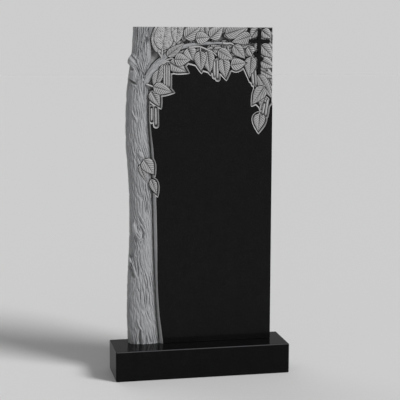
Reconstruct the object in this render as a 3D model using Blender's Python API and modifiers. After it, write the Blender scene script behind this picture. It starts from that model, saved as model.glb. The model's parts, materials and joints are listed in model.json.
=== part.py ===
"""
Headstone: an upright black granite stone on a low plinth.

A birch is carved into the stone's left edge and top in counter-relief: the polished
face stays the highest level, and the trunk, the branch, the leaves, the catkins and the
ground between them lie below it. A polished cross is left standing over the leaves.

World frame: metres, +Z up, the face looks along -Y, origin at the middle of the
plinth's underside. Places on the face are given in millimetres as (x, height), with x
from the plinth's middle and height from the plinth's top.
"""
import math

import bmesh
import bpy
from mathutils import Vector

MM = 0.001

# Plinth
PLINTH_WIDTH = 0.700
PLINTH_DEPTH = 0.200
PLINTH_HEIGHT = 0.120
PLINTH_EDGE = 0.004
SEAT_GAP = 0.0003

# Block that the stone is sawn from
STONE_HEIGHT = 1.255
STONE_DEPTH = 0.080
STONE_FRONT = -0.004
STONE_BACK = STONE_FRONT + STONE_DEPTH
STONE_RIGHT = 0.295
STONE_LEFT = -0.320
STONE_EDGE = 0.0015
FOOT = PLINTH_HEIGHT + SEAT_GAP
SLAB_LEFT = -0.235
OVERSIZE = 0.012

# Depths below the polished face
CREST_DEPTH = 0.003
GROOVE_DEPTH = 0.013
BED_DEPTH = 0.010
POCKET_DEPTH = 0.016
SKIRT_DEPTH = 0.024
TWIG_DEPTH = 0.005
# Neighbouring backs and beds end at slightly different depths, so that no two share a plane
SKIRT_STEP = 0.0002
BED_STEP = 0.0001
BAR_FRONT_STEP = 0.0005
BAR_BACK_STEP = 0.0007

# Trunk: height, left outline, right edge at the groove, all in millimetres
TRUNK_OUTLINE = (
    (-20, -282, -162),
    (120, -286, -174),
    (260, -283, -181),
    (420, -275, -187),
    (620, -275, -193),
    (820, -287, -203),
    (920, -286, -210),
    (1010, -282, -205),
    (1085, -272, -197),
    (1170, -259, -190),
    (1275, -254, -186),
)
STRIP_WIDTH = 0.014
TRUNK_HALF_DEPTH = 0.038
TRUNK_ROWS = 32
BED_ROWS = 12
BARK_RIDGES = 12
BACK_STEPS = 6
BACK_FULLNESS = 0.5
FURROW_DEPTH = 0.0034
FURROW_DRIFT = 0.38
# Waves of the ridges up the trunk: share, turn for each millimetre of height, turn for each ridge
RIDGE_WAVES = ((0.6, 0.034, 2.6), (0.4, 0.057, 1.3))
FURROW_WAVE = (0.38, 0.031, 2.3)

# Branch: centre line as (x, height, radius, depth of its crest), in millimetres
BRANCH = (
    (-230, 982, 12, 18),
    (-216, 1026, 18, 5),
    (-199, 1064, 19, 3),
    (-175, 1099, 17, 3),
    (-150, 1126, 15, 3),
    (-122, 1149, 13, 3),
    (-86, 1168, 12, 3),
    (-50, 1181, 11, 4),
    (-17, 1184, 8, 5),
    (30, 1190, 7, 6),
    (80, 1193, 6.5, 7),
    (126, 1188, 5, 8),
)
# Stump of a lopped branch on the trunk's left side, in the same terms
STUMP = (
    (-238, 1084, 14, 14),
    (-258, 1106, 19, 9),
    (-275, 1123, 17, 14),
    (-285, 1132, 12, 22),
)
# Twigs and stalks: centre line as (x, height, radius), in millimetres
TWIGS = (
    ((-46, 1178, 5), (-7, 1178, 5), (22, 1173, 4.5), (52, 1161, 4), (62, 1142, 3.5)),
    ((-160, 1108, 5), (-137, 1122, 4), (-118, 1124, 3.5), (-104, 1110, 3)),
    ((-4, 1178, 3.5), (-1, 1160, 3)),
    ((112, 1190, 3.5), (120, 1172, 3)),
    ((-210, 1040, 4), (-196, 1032, 3.5), (-184, 1028, 3)),
    ((262, 1056, 4), (247, 1008, 3.5), (241, 950, 3.5), (245, 905, 3.5)),
    ((-150, 1122, 4), (-150, 1140, 4), (-152, 1156, 4)),
)

# Leaves: stalk end, tip, half width and depth of the blade's edge, in millimetres
LEAVES = (
    # behind the branch, along the top edge
    (-160, 1156, -172, 1330, 38, 9),
    (-148, 1150, -104, 1330, 55, 6),
    (-112, 1168, -62, 1300, 30, 10),
    (6, 1268, -64, 1209, 30, 6),
    (-24, 1216, 46, 1216, 27, 5),
    (96, 1268, 36, 1207, 26, 7),
    (70, 1250, 140, 1262, 24, 9),
    (192, 1252, 96, 1222, 26, 6),
    (196, 1216, 124, 1202, 21, 4),
    (184, 1250, 232, 1214, 18, 7),
    # under the branch
    (-100, 1128, -36, 1130, 24, 5),
    (-122, 1120, -48, 1081, 20, 8),
    (-158, 1106, -177, 1012, 16, 7),
    (-44, 1178, -30, 1116, 29, 9),
    (-4, 1162, 4, 1084, 25, 6),
    (34, 1160, 42, 1074, 23, 8),
    (66, 1164, 134, 1130, 22, 4),
    (92, 1140, 106, 1054, 25, 7),
    (136, 1184, 184, 1132, 20, 4),
    (124, 1108, 188, 1116, 22, 5),
    (190, 1176, 214, 1136, 15, 6),
    (186, 1184, 230, 1158, 15, 8),
    (206, 1144, 200, 1056, 27, 6),
    # right of and below the cross
    (238, 1256, 300, 1222, 20, 8),
    (236, 1178, 304, 1142, 24, 6),
    (236, 1126, 306, 1100, 24, 9),
    (240, 1096, 304, 1046, 25, 8),
    (240, 1082, 298, 968, 27, 6),
    (266, 1032, 212, 946, 30, 4),
    (266, 990, 244, 932, 20, 7),
    (244, 918, 237, 846, 24, 5),
    # beside the trunk
    (-186, 1034, -106, 1003, 24, 4),
    (-190, 1016, -158, 940, 24, 7),
    (-220, 744, -184, 676, 22, 4),
    (-226, 742, -210, 655, 9, 3),
    (-192, 664, -170, 600, 15, 6),
)
LEAF_ROWS = 6
LEAF_WIDEST = 0.32
LEAF_FULLNESS = 0.5
LEAF_BULGE = 0.0034
LEAF_FLAT_HALF = 0.018
LEAF_TIP_DROP = 0.0025
LEAF_CROWDING = 1.5
LEAF_RIM = 0.008
LEAF_RIM_FOOT = 0.001
BED_STEPS = 5
BED_CROWDING = 1.2

# Catkins: top, bottom, radius, in millimetres
CATKINS = (
    (57, 1128, 57, 1066, 5.5),
    (69, 1114, 69, 1053, 5.5),
    (211, 1090, 211, 1026, 5),
    (225, 1090, 224, 1022, 5),
    (-184, 950, -184, 886, 5.5),
    (-172, 950, -171, 872, 5.5),
    (-146, 1112, -143, 1024, 7),
    (-131, 1112, -129, 1022, 6),
    (-120, 1108, -118, 1016, 4.5),
    (280, 985, 266, 902, 6),
)
CATKIN_SIDES = 8
CATKIN_RINGS = 4
CATKIN_DEPTH = 0.0075
CATKIN_RIM = 0.007
CATKIN_BED_DEPTH = BED_DEPTH + 0.001
CATKIN_BED_SIDES = 12

# Ground behind the foliage: a plain region with its corners in millimetres
CROWN_GROUND = (
    (-215, 1030), (-120, 1030), (-116, 1082), (-60, 1088), (-20, 1112), (60, 1080),
    (130, 1094), (190, 1080), (214, 1030), (214, 975), (262, 930), (310, 985),
    (310, 1280), (-215, 1280),
)

# Cross with a crossbar and a slanted footrest: bars as two ends, in millimetres
CROSS_BARS = (
    (239.5, 1071, 239.5, 1247),
    (197, 1201, 284, 1201),
    (217, 1158, 258, 1124),
)
CROSS_BAR_WIDTH = 0.0125

# Knots on the trunk: x, height, depth of the middle under the bark, half sizes and tilt
KNOTS = (
    (-257, 1066, 1, (19, 9, 28), -14),
    (-232, 757, 4, (11, 6, 20), 25),
    (-260, 466, 4, (15, 10, 29), -12),
    (-245, 432, 4, (13, 8, 18), -35),
    (-274, 338, 7, (15, 16, 30), 15),
    (-244, 258, 5, (18, 7, 34), 10),
    (-240, 84, 4, (12, 6, 28), -10),
)
KNOT_SIDES = 8
KNOT_RINGS = 5
# Creases and hollows between the knots: line on the bark as (x, height, radius)
CREASES = (
    ((-268, 1158, 2), (-252, 1128, 4), (-238, 1096, 4), (-224, 1060, 4), (-219, 1030, 2)),
    ((-284, 1104, 6), (-270, 1098, 8), (-256, 1084, 4)),
    ((-282, 1058, 3), (-262, 1042, 5), (-243, 1026, 3)),
    ((-286, 322, 4), (-276, 300, 6), (-268, 272, 3)),
    ((-240, -16, 5), (-237, 30, 4.5), (-231, 62, 2)),
)
CREASE_SINK = 0.001


def clear_scene():
    """Empty the scene, so that only the headstone is in it."""
    for thing in list(bpy.data.objects):
        bpy.data.objects.remove(thing, do_unlink=True)


def make_collection(name):
    """A new collection under the scene's own."""
    collection = bpy.data.collections.new(name)
    bpy.context.scene.collection.children.link(collection)
    return collection


def make_material(name, colour, roughness):
    """A stone finish: colour and roughness on one Principled shader."""
    material = bpy.data.materials.new(name)
    material.use_nodes = True
    shader = material.node_tree.nodes["Principled BSDF"]
    shader.inputs["Base Color"].default_value = (*colour, 1.0)
    shader.inputs["Roughness"].default_value = roughness
    shader.inputs["Metallic"].default_value = 0.0
    material.diffuse_color = (*colour, 1.0)
    return material


def make_object(name, bm, collection, material):
    """Turn a finished bmesh into an object whose faces point outwards."""
    bmesh.ops.recalc_face_normals(bm, faces=bm.faces)
    mesh = bpy.data.meshes.new(name)
    bm.to_mesh(mesh)
    bm.free()
    mesh.materials.append(material)
    thing = bpy.data.objects.new(name, mesh)
    collection.objects.link(thing)
    return thing


def set_aside(thing):
    """Mark an object as a form that only shapes the stone."""
    thing.hide_render = True
    thing.display_type = "WIRE"


def make_form(name, bm, collection, material):
    """Turn a finished bmesh into a form of flat triangles, which joins and cuts cleanly."""
    bmesh.ops.triangulate(bm, faces=bm.faces)
    set_aside(make_object(name, bm, collection, material))


def on_stone(x, height, depth=0.0):
    """World place of a point given in millimetres on the face, depth metres below it."""
    return Vector((x * MM, STONE_FRONT + depth, PLINTH_HEIGHT + height * MM))


def box(name, low, high, collection, material):
    """A box between two corners."""
    bm = bmesh.new()
    bmesh.ops.create_cube(bm, size=1.0)
    low, high = Vector(low), Vector(high)
    bmesh.ops.scale(bm, vec=high - low, verts=bm.verts)
    bmesh.ops.translate(bm, vec=(low + high) / 2, verts=bm.verts)
    return make_object(name, bm, collection, material)


def loft(name, rings, collection, material):
    """A closed solid through rings with equal numbers of points, capped at both ends."""
    bm = bmesh.new()
    rows = [[bm.verts.new(point) for point in ring] for ring in rings]
    count = len(rows[0])
    for lower, upper in zip(rows, rows[1:]):
        for i in range(count):
            j = (i + 1) % count
            bm.faces.new((lower[i], lower[j], upper[j], upper[i]))
    bm.faces.new(rows[0])
    bm.faces.new(rows[-1])
    make_form(name, bm, collection, material)


def eased(table, place):
    """Values of a table at a place, on smooth curves through its rows."""
    last = len(table) - 1
    k = 0
    while k < last - 1 and place > table[k + 1][0]:
        k += 1
    before, start = table[max(k - 1, 0)], table[k]
    end, after = table[k + 1], table[min(k + 2, last)]
    t = (place - start[0]) / (end[0] - start[0])
    values = []
    for a, b, c, d in zip(before[1:], start[1:], end[1:], after[1:]):
        slope_in, slope_out = (c - a) / 2, (d - b) / 2
        values.append(b + t * slope_in + t * t * (3 * (c - b) - 2 * slope_in - slope_out)
                      + t ** 3 * (2 * (b - c) + slope_in + slope_out))
    return values


def trunk_shape(height):
    """Centre, half width and groove edge of the trunk at a height in millimetres."""
    left, right = (value * MM for value in eased(TRUNK_OUTLINE, height))
    fall = 1 - (GROOVE_DEPTH - CREST_DEPTH) / TRUNK_HALF_DEPTH
    half = (right - left) / (1 + math.sqrt(1 - fall ** 2))
    return left + half, half, right


def bark_depth(x, height):
    """Depth of the trunk's surface below the polished face, at a place on the trunk."""
    centre, half, _ = trunk_shape(height)
    share = min(abs(x * MM - centre) / half, 1)
    return CREST_DEPTH + TRUNK_HALF_DEPTH * (1 - math.sqrt(1 - share ** 2))


def wave(part, height, ridge):
    """One wave of the bark, at a height in millimetres and on a numbered ridge."""
    share, per_height, per_ridge = part
    return share * math.sin(height * per_height + ridge * per_ridge)


def trunk_ring(height):
    """One section of the trunk: bark ridges in front, a fuller curve behind."""
    centre, half, _ = trunk_shape(height)
    depth = TRUNK_HALF_DEPTH
    middle = STONE_FRONT + CREST_DEPTH + depth
    steps = 2 * BARK_RIDGES
    ring = []
    for i in range(steps + 1):
        wander = sum(wave(part, height, i) for part in RIDGE_WAVES)
        angle = math.pi * (i + FURROW_DRIFT * wander * (0 < i < steps)) / steps
        cut = FURROW_DEPTH * (1 - FURROW_WAVE[0] + wave(FURROW_WAVE, height, i)) * (i % 2)
        ring.append(Vector((
            centre + (half - cut) * math.cos(angle),
            middle - (depth - cut) * math.sin(angle),
            PLINTH_HEIGHT + height * MM,
        )))
    for i in range(1, BACK_STEPS):
        angle = math.pi * i / BACK_STEPS
        ring.append(Vector((
            centre - half * math.copysign(abs(math.cos(angle)) ** BACK_FULLNESS, math.cos(angle)),
            middle + (depth + OVERSIZE / 2) * math.sin(angle) ** BACK_FULLNESS,
            PLINTH_HEIGHT + height * MM,
        )))
    return ring


def trunk_heights(rows):
    """Heights of the trunk's sections, past both ends of the block."""
    low, high = TRUNK_OUTLINE[0][0], TRUNK_OUTLINE[-1][0]
    return [low + (high - low) * i / (rows - 1) for i in range(rows)]


def trunk_bed_ring(height):
    """Section of the cut that frees the trunk and slopes up to the polished face."""
    _, _, right = trunk_shape(height)
    slope = STRIP_WIDTH / GROOVE_DEPTH
    outer = right + slope * (GROOVE_DEPTH + OVERSIZE)
    z = PLINTH_HEIGHT + height * MM
    return [
        Vector((STONE_LEFT - OVERSIZE, STONE_FRONT - OVERSIZE, z)),
        Vector((STONE_LEFT - OVERSIZE, STONE_FRONT + GROOVE_DEPTH, z)),
        Vector((right, STONE_FRONT + GROOVE_DEPTH, z)),
        Vector((outer, STONE_FRONT - OVERSIZE, z)),
    ]


def leaf_width(u):
    """Share of a leaf's half width at u from its stalk to its tip."""
    fall = LEAF_FULLNESS * (1 - LEAF_WIDEST) / LEAF_WIDEST
    return (u / LEAF_WIDEST) ** LEAF_FULLNESS * ((1 - u) / (1 - LEAF_WIDEST)) ** fall


def leaf_frame(leaf):
    """A leaf's stalk end, its axis and its sideways direction on the face."""
    x0, h0, x1, h1 = leaf[:4]
    start = on_stone(x0, h0)
    axis = on_stone(x1, h1) - start
    side = Vector((-axis.z, 0, axis.x)).normalized()
    return start, axis, side


def leaf_solid(index, leaf, collection, material):
    """A blade with a sunk midrib and two bulging halves, standing on its own skirt."""
    start, axis, side = leaf_frame(leaf)
    half, edge = leaf[4] * MM, leaf[5] * MM
    bm = bmesh.new()
    bmesh.ops.create_grid(bm, x_segments=LEAF_ROWS, y_segments=4, size=0.5)
    for vert in bm.verts:
        u = (vert.co.x + 0.5) ** LEAF_CROWDING
        v = 2 * vert.co.y
        bulge = LEAF_BULGE * (1 - (2 * abs(v) - 1) ** 2) * min(1, half / LEAF_FLAT_HALF)
        depth = edge + LEAF_TIP_DROP * u * u - bulge * leaf_width(u) ** 0.5
        vert.co = start + axis * u + side * (v * half * leaf_width(u)) + Vector((0, depth, 0))
    bmesh.ops.remove_doubles(bm, verts=bm.verts, dist=0.0001)
    skirt = bmesh.ops.extrude_face_region(bm, geom=bm.faces[:])
    back = STONE_FRONT + SKIRT_DEPTH + index * SKIRT_STEP
    for vert in (item for item in skirt["geom"] if isinstance(item, bmesh.types.BMVert)):
        vert.co.y = back
    make_form(f"leaf {index}", bm, collection, material)


def leaf_bed(index, leaf, collection, material):
    """The cut around a leaf: a rim that slopes from the face down to the blade's foot."""
    start, axis, side = leaf_frame(leaf)
    half, along = leaf[4] * MM, axis.normalized()
    slope = (LEAF_RIM - LEAF_RIM_FOOT) / BED_DEPTH
    rings = []
    for depth in (-OVERSIZE, BED_DEPTH + index * BED_STEP):
        margin = LEAF_RIM - slope * depth
        ring = []
        for i in range(2 * BED_STEPS):
            turn = math.pi * i / BED_STEPS
            u = (0.5 - 0.5 * math.cos(turn)) ** BED_CROWDING
            across = half * leaf_width(u) * math.copysign(1, math.sin(turn)) * (i % BED_STEPS > 0)
            offset = along * (-margin * math.cos(turn)) + side * (margin * math.sin(turn))
            ring.append(start + axis * u + side * across + offset + Vector((0, depth, 0)))
        rings.append(ring)
    loft(f"leaf bed {index}", rings, collection, material)


def tube(name, places, collection, material, sides=2):
    """A round limb along (x, height, radius, depth of its crest), its ends closed."""
    curve = bpy.data.curves.new(name, "CURVE")
    curve.dimensions = "3D"
    curve.bevel_depth = 1.0
    curve.bevel_resolution = sides
    curve.use_fill_caps = True
    spline = curve.splines.new("POLY")
    spline.points.add(len(places) - 1)
    for point, (x, height, radius, crest) in zip(spline.points, places):
        point.co = (*on_stone(x, height, (crest + radius) * MM), 1.0)
        point.radius = radius * MM
    guide = bpy.data.objects.new(name, curve)
    collection.objects.link(guide)
    bpy.context.view_layer.update()
    evaluated = guide.evaluated_get(bpy.context.evaluated_depsgraph_get())
    mesh = bpy.data.meshes.new_from_object(evaluated)
    bm = bmesh.new()
    bm.from_mesh(mesh)
    bmesh.ops.remove_doubles(bm, verts=bm.verts, dist=0.00005)
    bpy.data.objects.remove(guide)
    bpy.data.meshes.remove(mesh)
    make_form(name, bm, collection, material)


def catkin_solid(index, catkin, collection, material):
    """A hanging catkin: a long rounded rod."""
    x0, h0, x1, h1, radius = catkin
    top, bottom = on_stone(x0, h0, CATKIN_DEPTH), on_stone(x1, h1, CATKIN_DEPTH)
    stretch = (top - bottom).length / 2 - radius * MM
    bm = bmesh.new()
    bmesh.ops.create_uvsphere(bm, u_segments=CATKIN_SIDES, v_segments=CATKIN_RINGS,
                              radius=radius * MM)
    for vert in bm.verts:
        if abs(vert.co.z) > 0.1 * radius * MM:
            vert.co.z += math.copysign(stretch, vert.co.z)
    turn = Vector((0, 0, 1)).rotation_difference(top - bottom)
    bmesh.ops.rotate(bm, cent=(0, 0, 0), matrix=turn.to_matrix(), verts=bm.verts)
    bmesh.ops.translate(bm, vec=(top + bottom) / 2, verts=bm.verts)
    make_form(f"catkin {index}", bm, collection, material)


def rod_bed(name, x0, h0, x1, h1, reach, collection, material):
    """The cut around a straight rod on the face, with round ends and sloping sides."""
    start, end = on_stone(x0, h0), on_stone(x1, h1)
    along = (end - start).normalized()
    side = Vector((-along.z, 0, along.x))
    slope = (CATKIN_RIM - LEAF_RIM_FOOT) / BED_DEPTH
    rings = []
    for depth in (-OVERSIZE, CATKIN_BED_DEPTH):
        margin = reach + CATKIN_RIM - slope * depth
        ring = []
        for i in range(CATKIN_BED_SIDES):
            turn = math.tau * (i + 0.5) / CATKIN_BED_SIDES
            pole = end if math.cos(turn) > 0 else start
            offset = along * (margin * math.cos(turn)) + side * (margin * math.sin(turn))
            ring.append(pole + offset + Vector((0, depth, 0)))
        rings.append(ring)
    loft(name, rings, collection, material)


def knot_solid(index, knot, collection, material):
    """A knot or a cut stub: a rounded lump on the bark."""
    x, height, depth, sizes, tilt = knot
    bm = bmesh.new()
    bmesh.ops.create_uvsphere(bm, u_segments=KNOT_SIDES, v_segments=KNOT_RINGS, radius=1.0)
    bmesh.ops.scale(bm, vec=Vector(sizes) * MM, verts=bm.verts)
    angle = math.radians(tilt)
    turn = Vector((0, 0, 1)).rotation_difference(Vector((math.sin(angle), 0, math.cos(angle))))
    bmesh.ops.rotate(bm, cent=(0, 0, 0), matrix=turn.to_matrix(), verts=bm.verts)
    place = on_stone(x, height, bark_depth(x, height) + depth * MM)
    bmesh.ops.translate(bm, vec=place, verts=bm.verts)
    make_form(f"knot {index}", bm, collection, material)


def crown_ground(collection, material):
    """The pocketed ground behind the leaves, sunk below the face."""
    rings = []
    for depth in (-OVERSIZE, POCKET_DEPTH):
        rings.append([on_stone(x, height, depth) for x, height in CROWN_GROUND])
    loft("crown ground", rings, collection, material)


def cross_bar(index, bar, collection, material):
    """One bar of the cross, standing from the ground to the polished face."""
    x0, h0, x1, h1 = bar
    start, end = on_stone(x0, h0), on_stone(x1, h1)
    along = (end - start).normalized()
    side = Vector((-along.z, 0, along.x)) * CROSS_BAR_WIDTH / 2
    corners = (start + side, end + side, end - side, start - side)
    rings = []
    for depth in (-OVERSIZE / 2 - index * BAR_FRONT_STEP, SKIRT_DEPTH - index * BAR_BACK_STEP):
        rings.append([corner + Vector((0, depth, 0)) for corner in corners])
    loft(f"cross bar {index}", rings, collection, material)


def add_boolean(thing, name, operation, other):
    """Join, cut or trim a piece with another object or a whole collection."""
    modifier = thing.modifiers.new(name, "BOOLEAN")
    modifier.operation = operation
    modifier.solver = "EXACT"
    modifier.material_mode = "TRANSFER"
    if isinstance(other, bpy.types.Collection):
        modifier.operand_type = "COLLECTION"
        modifier.collection = other
        modifier.use_self = True
    else:
        modifier.object = other


def make_plinth(collection, material):
    """The plinth: a plain polished bar with eased edges."""
    half_width, half_depth = PLINTH_WIDTH / 2, PLINTH_DEPTH / 2
    plinth = box("plinth", (-half_width, -half_depth, 0), (half_width, half_depth, PLINTH_HEIGHT),
                 collection, material)
    bevel = plinth.modifiers.new("eased edges", "BEVEL")
    bevel.width = PLINTH_EDGE
    bevel.segments = 2
    bevel.limit_method = "ANGLE"


def make_forms(forms, carved, polished):
    """Everything that stands in the carved ground."""
    loft("trunk", [trunk_ring(height) for height in trunk_heights(TRUNK_ROWS)], forms, carved)
    for index, knot in enumerate(KNOTS):
        knot_solid(index, knot, forms, carved)
    tube("branch", BRANCH, forms, carved, sides=3)
    tube("stump", STUMP, forms, carved, sides=2)
    for index, twig in enumerate(TWIGS):
        places = [(*place, TWIG_DEPTH / MM) for place in twig]
        tube(f"twig {index}", places, forms, carved, sides=1)
    for index, leaf in enumerate(LEAVES):
        leaf_solid(index, leaf, forms, carved)
    for index, catkin in enumerate(CATKINS):
        catkin_solid(index, catkin, forms, carved)
    for index, bar in enumerate(CROSS_BARS):
        cross_bar(index, bar, forms, polished)


def make_cuts(cuts, carved):
    """Everything that is cut from the polished face first."""
    bed_rings = [trunk_bed_ring(height) for height in trunk_heights(BED_ROWS)]
    loft("trunk bed", bed_rings, cuts, carved)
    crown_ground(cuts, carved)
    for index, leaf in enumerate(LEAVES):
        leaf_bed(index, leaf, cuts, carved)
    for index, (x0, h0, x1, h1, radius) in enumerate(CATKINS):
        rod_bed(f"catkin bed {index}", x0, h0, x1, h1, radius * MM, cuts, carved)


def make_creases(creases, carved):
    """The creases and hollows that are cut into the finished bark."""
    for index, line in enumerate(CREASES):
        places = []
        for x, height, radius in line:
            crest = (bark_depth(x, height) + CREASE_SINK) / MM - radius
            places.append((x, height, radius, crest))
        tube(f"crease {index}", places, creases, carved, sides=1)


def make_block(collection, polished):
    """The sawn block with eased edges, which trims the carved stone."""
    block = box("block", (STONE_LEFT, STONE_FRONT, FOOT),
                (STONE_RIGHT, STONE_BACK, PLINTH_HEIGHT + STONE_HEIGHT), collection, polished)
    set_aside(block)
    bevel = block.modifiers.new("sawn edges", "BEVEL")
    bevel.width = STONE_EDGE
    bevel.segments = 1
    return block


def make_stele(collection, forms, cuts, creases, block, polished):
    """The upright stone: a slab that is cut, joined to its carved forms and trimmed."""
    stele = box(
        "stele",
        (SLAB_LEFT, STONE_FRONT - OVERSIZE / 3, FOOT - OVERSIZE),
        (STONE_RIGHT + OVERSIZE, STONE_BACK + OVERSIZE, FOOT + STONE_HEIGHT + OVERSIZE),
        collection, polished,
    )
    add_boolean(stele, "carved ground", "DIFFERENCE", cuts)
    add_boolean(stele, "carved forms", "UNION", forms)
    add_boolean(stele, "creases in the bark", "DIFFERENCE", creases)
    add_boolean(stele, "sawn block", "INTERSECT", block)


def main():
    """Build the headstone."""
    clear_scene()
    headstone = make_collection("headstone")
    forms = make_collection("carved forms")
    cuts = make_collection("cutters")
    creases = make_collection("bark creases")
    trims = make_collection("trimming block")
    polished_plinth = make_material("polished plinth granite", (0.012, 0.012, 0.013), 0.12)
    polished = make_material("polished granite", (0.010, 0.010, 0.011), 0.10)
    carved = make_material("carved granite", (0.300, 0.300, 0.305), 0.80)
    make_plinth(headstone, polished_plinth)
    make_forms(forms, carved, polished)
    make_cuts(cuts, carved)
    make_creases(creases, carved)
    block = make_block(trims, polished)
    make_stele(headstone, forms, cuts, creases, block, polished)


main()
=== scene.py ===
"""
Headstone: the carving and the finish of a black granite stone on its plinth.

The frame gives the two pieces at their real size. The plinth keeps its solid and gets its
polish. The upright stone is carved again at a finer scale in the place of its solid: the
bark of the birch, the branch, the veined leaves, the catkins and the polished cross.

Metres, +Z up, the face looks along -Y. Places on the face are in millimetres as
(x, height): x from the plinth's middle, height from the plinth's top.
"""
import json
import math

import bmesh
import bpy
import numpy as np
from mathutils import Matrix, Vector
from mathutils.bvhtree import BVHTree

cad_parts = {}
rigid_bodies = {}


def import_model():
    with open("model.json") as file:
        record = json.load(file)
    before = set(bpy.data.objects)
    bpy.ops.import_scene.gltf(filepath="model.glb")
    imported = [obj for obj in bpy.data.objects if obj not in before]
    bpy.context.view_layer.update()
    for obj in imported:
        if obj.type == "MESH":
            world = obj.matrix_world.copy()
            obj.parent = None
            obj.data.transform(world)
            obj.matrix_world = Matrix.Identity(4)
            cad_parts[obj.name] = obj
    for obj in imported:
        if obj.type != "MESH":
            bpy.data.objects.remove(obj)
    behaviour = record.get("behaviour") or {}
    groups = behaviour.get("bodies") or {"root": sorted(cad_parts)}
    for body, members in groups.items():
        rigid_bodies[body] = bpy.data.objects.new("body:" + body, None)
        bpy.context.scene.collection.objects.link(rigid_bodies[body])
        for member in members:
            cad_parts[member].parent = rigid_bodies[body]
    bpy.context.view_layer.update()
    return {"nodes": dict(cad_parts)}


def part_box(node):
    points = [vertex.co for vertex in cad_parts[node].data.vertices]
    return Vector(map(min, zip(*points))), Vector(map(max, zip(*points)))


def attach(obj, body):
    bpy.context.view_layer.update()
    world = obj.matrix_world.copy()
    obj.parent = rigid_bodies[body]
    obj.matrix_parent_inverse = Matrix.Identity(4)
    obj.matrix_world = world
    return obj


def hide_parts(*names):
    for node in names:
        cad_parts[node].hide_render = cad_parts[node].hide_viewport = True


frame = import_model()

MM = 0.001

# Places taken from the frame
PLINTH_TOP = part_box("plinth")[1].z
STONE_LOW, STONE_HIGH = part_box("stele")
FRONT, BACK = STONE_LOW.y, STONE_HIGH.y
STONE_TOP = (STONE_HIGH.z - PLINTH_TOP) / MM
OUTWARD = Vector((0, -1, 0))

# Slab that is carved, and the block with sawn edges that trims it, in metres. The slab ends inside
# the trunk, the block stands clear of the trunk's left side, and cuts run past both.
SLAB_LEFT = -0.235
BLOCK_LEFT = STONE_LOW.x - 0.027
STONE_EDGE = 0.0015
OVERSIZE = 0.012

# Depths below the polished face, in millimetres: the trunk's crest, the groove beside it, the
# ground behind the leaves and the foot of the leaves. Cuts and leaves that would end in one plane
# are parted by the step. Cuts start above the face.
CREST_DEPTH = 3
GROOVE_DEPTH = 13
POCKET_DEPTH = 19
SKIRT_DEPTH = 26
DEPTH_STEP = 0.1
ABOVE_FACE = -12

# Trunk, in millimetres: height, left outline, right edge in the groove, and where its bed reaches
# the polished face
TRUNK_OUTLINE = (
    (-20, -282, -162, -146),
    (50, -284.5, -168, -154),
    (125, -286, -174.5, -163),
    (260, -283, -181, -170),
    (420, -275, -186, -171.5),
    (620, -275, -190, -176),
    (780, -285.5, -196, -185),
    (850, -287, -201.5, -193),
    (920, -286, -204.5, -197),
    (1010, -281, -202, -194),
    (1085, -271, -197, -189),
    (1150, -261, -192, -184),
    (1205, -257, -191, -183),
    (1232, -255, -186, -178),
    (1275, -254, -172, -165),
)
TRUNK_HALF_DEPTH = 38
BACK_REACH = 44
# Ways round the trunk are measured on this radius
TRUNK_ROUND = 46
# Its mesh has closer rows in the stretches with knots
TRUNK_ROWS = 460
FINE_STRETCHES = ((405, 525), (735, 785), (1000, 1262))
FINE_SHARE = 1.6
TRUNK_FRONT_COLUMNS = 92
TRUNK_SIDE_COLUMNS = 26
TRUNK_BURIED_COLUMNS = 4
TRUNK_SAMPLES = 2000
# On its left side the bark fades and is stretched, in shares of the way to the back
SIDE_FADE_START = 0.5
SIDE_FADE_SPAN = 0.3
SIDE_FADE = 0.85
SIDE_STRETCH = 1.1
# Where the branch leaves it, the furrows swerve sideways
SWERVE = 16
SWERVE_HEIGHT = 1085
SWERVE_SPAN = 55
BARK_CLEARANCE = 0.5
# Groove beside the trunk: distance from the trunk's edge and depth, to the foot of the slope
GROOVE_WALL = ((4.5, 17), (5.3, 9))
# The slope rolls into the polished face and opens above it, in shares of the slope's width
BED_ROLL = 0.12
BED_ROLL_DEPTH = 0.7
BED_OPENING = 0.3
BED_ROWS = 90

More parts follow.
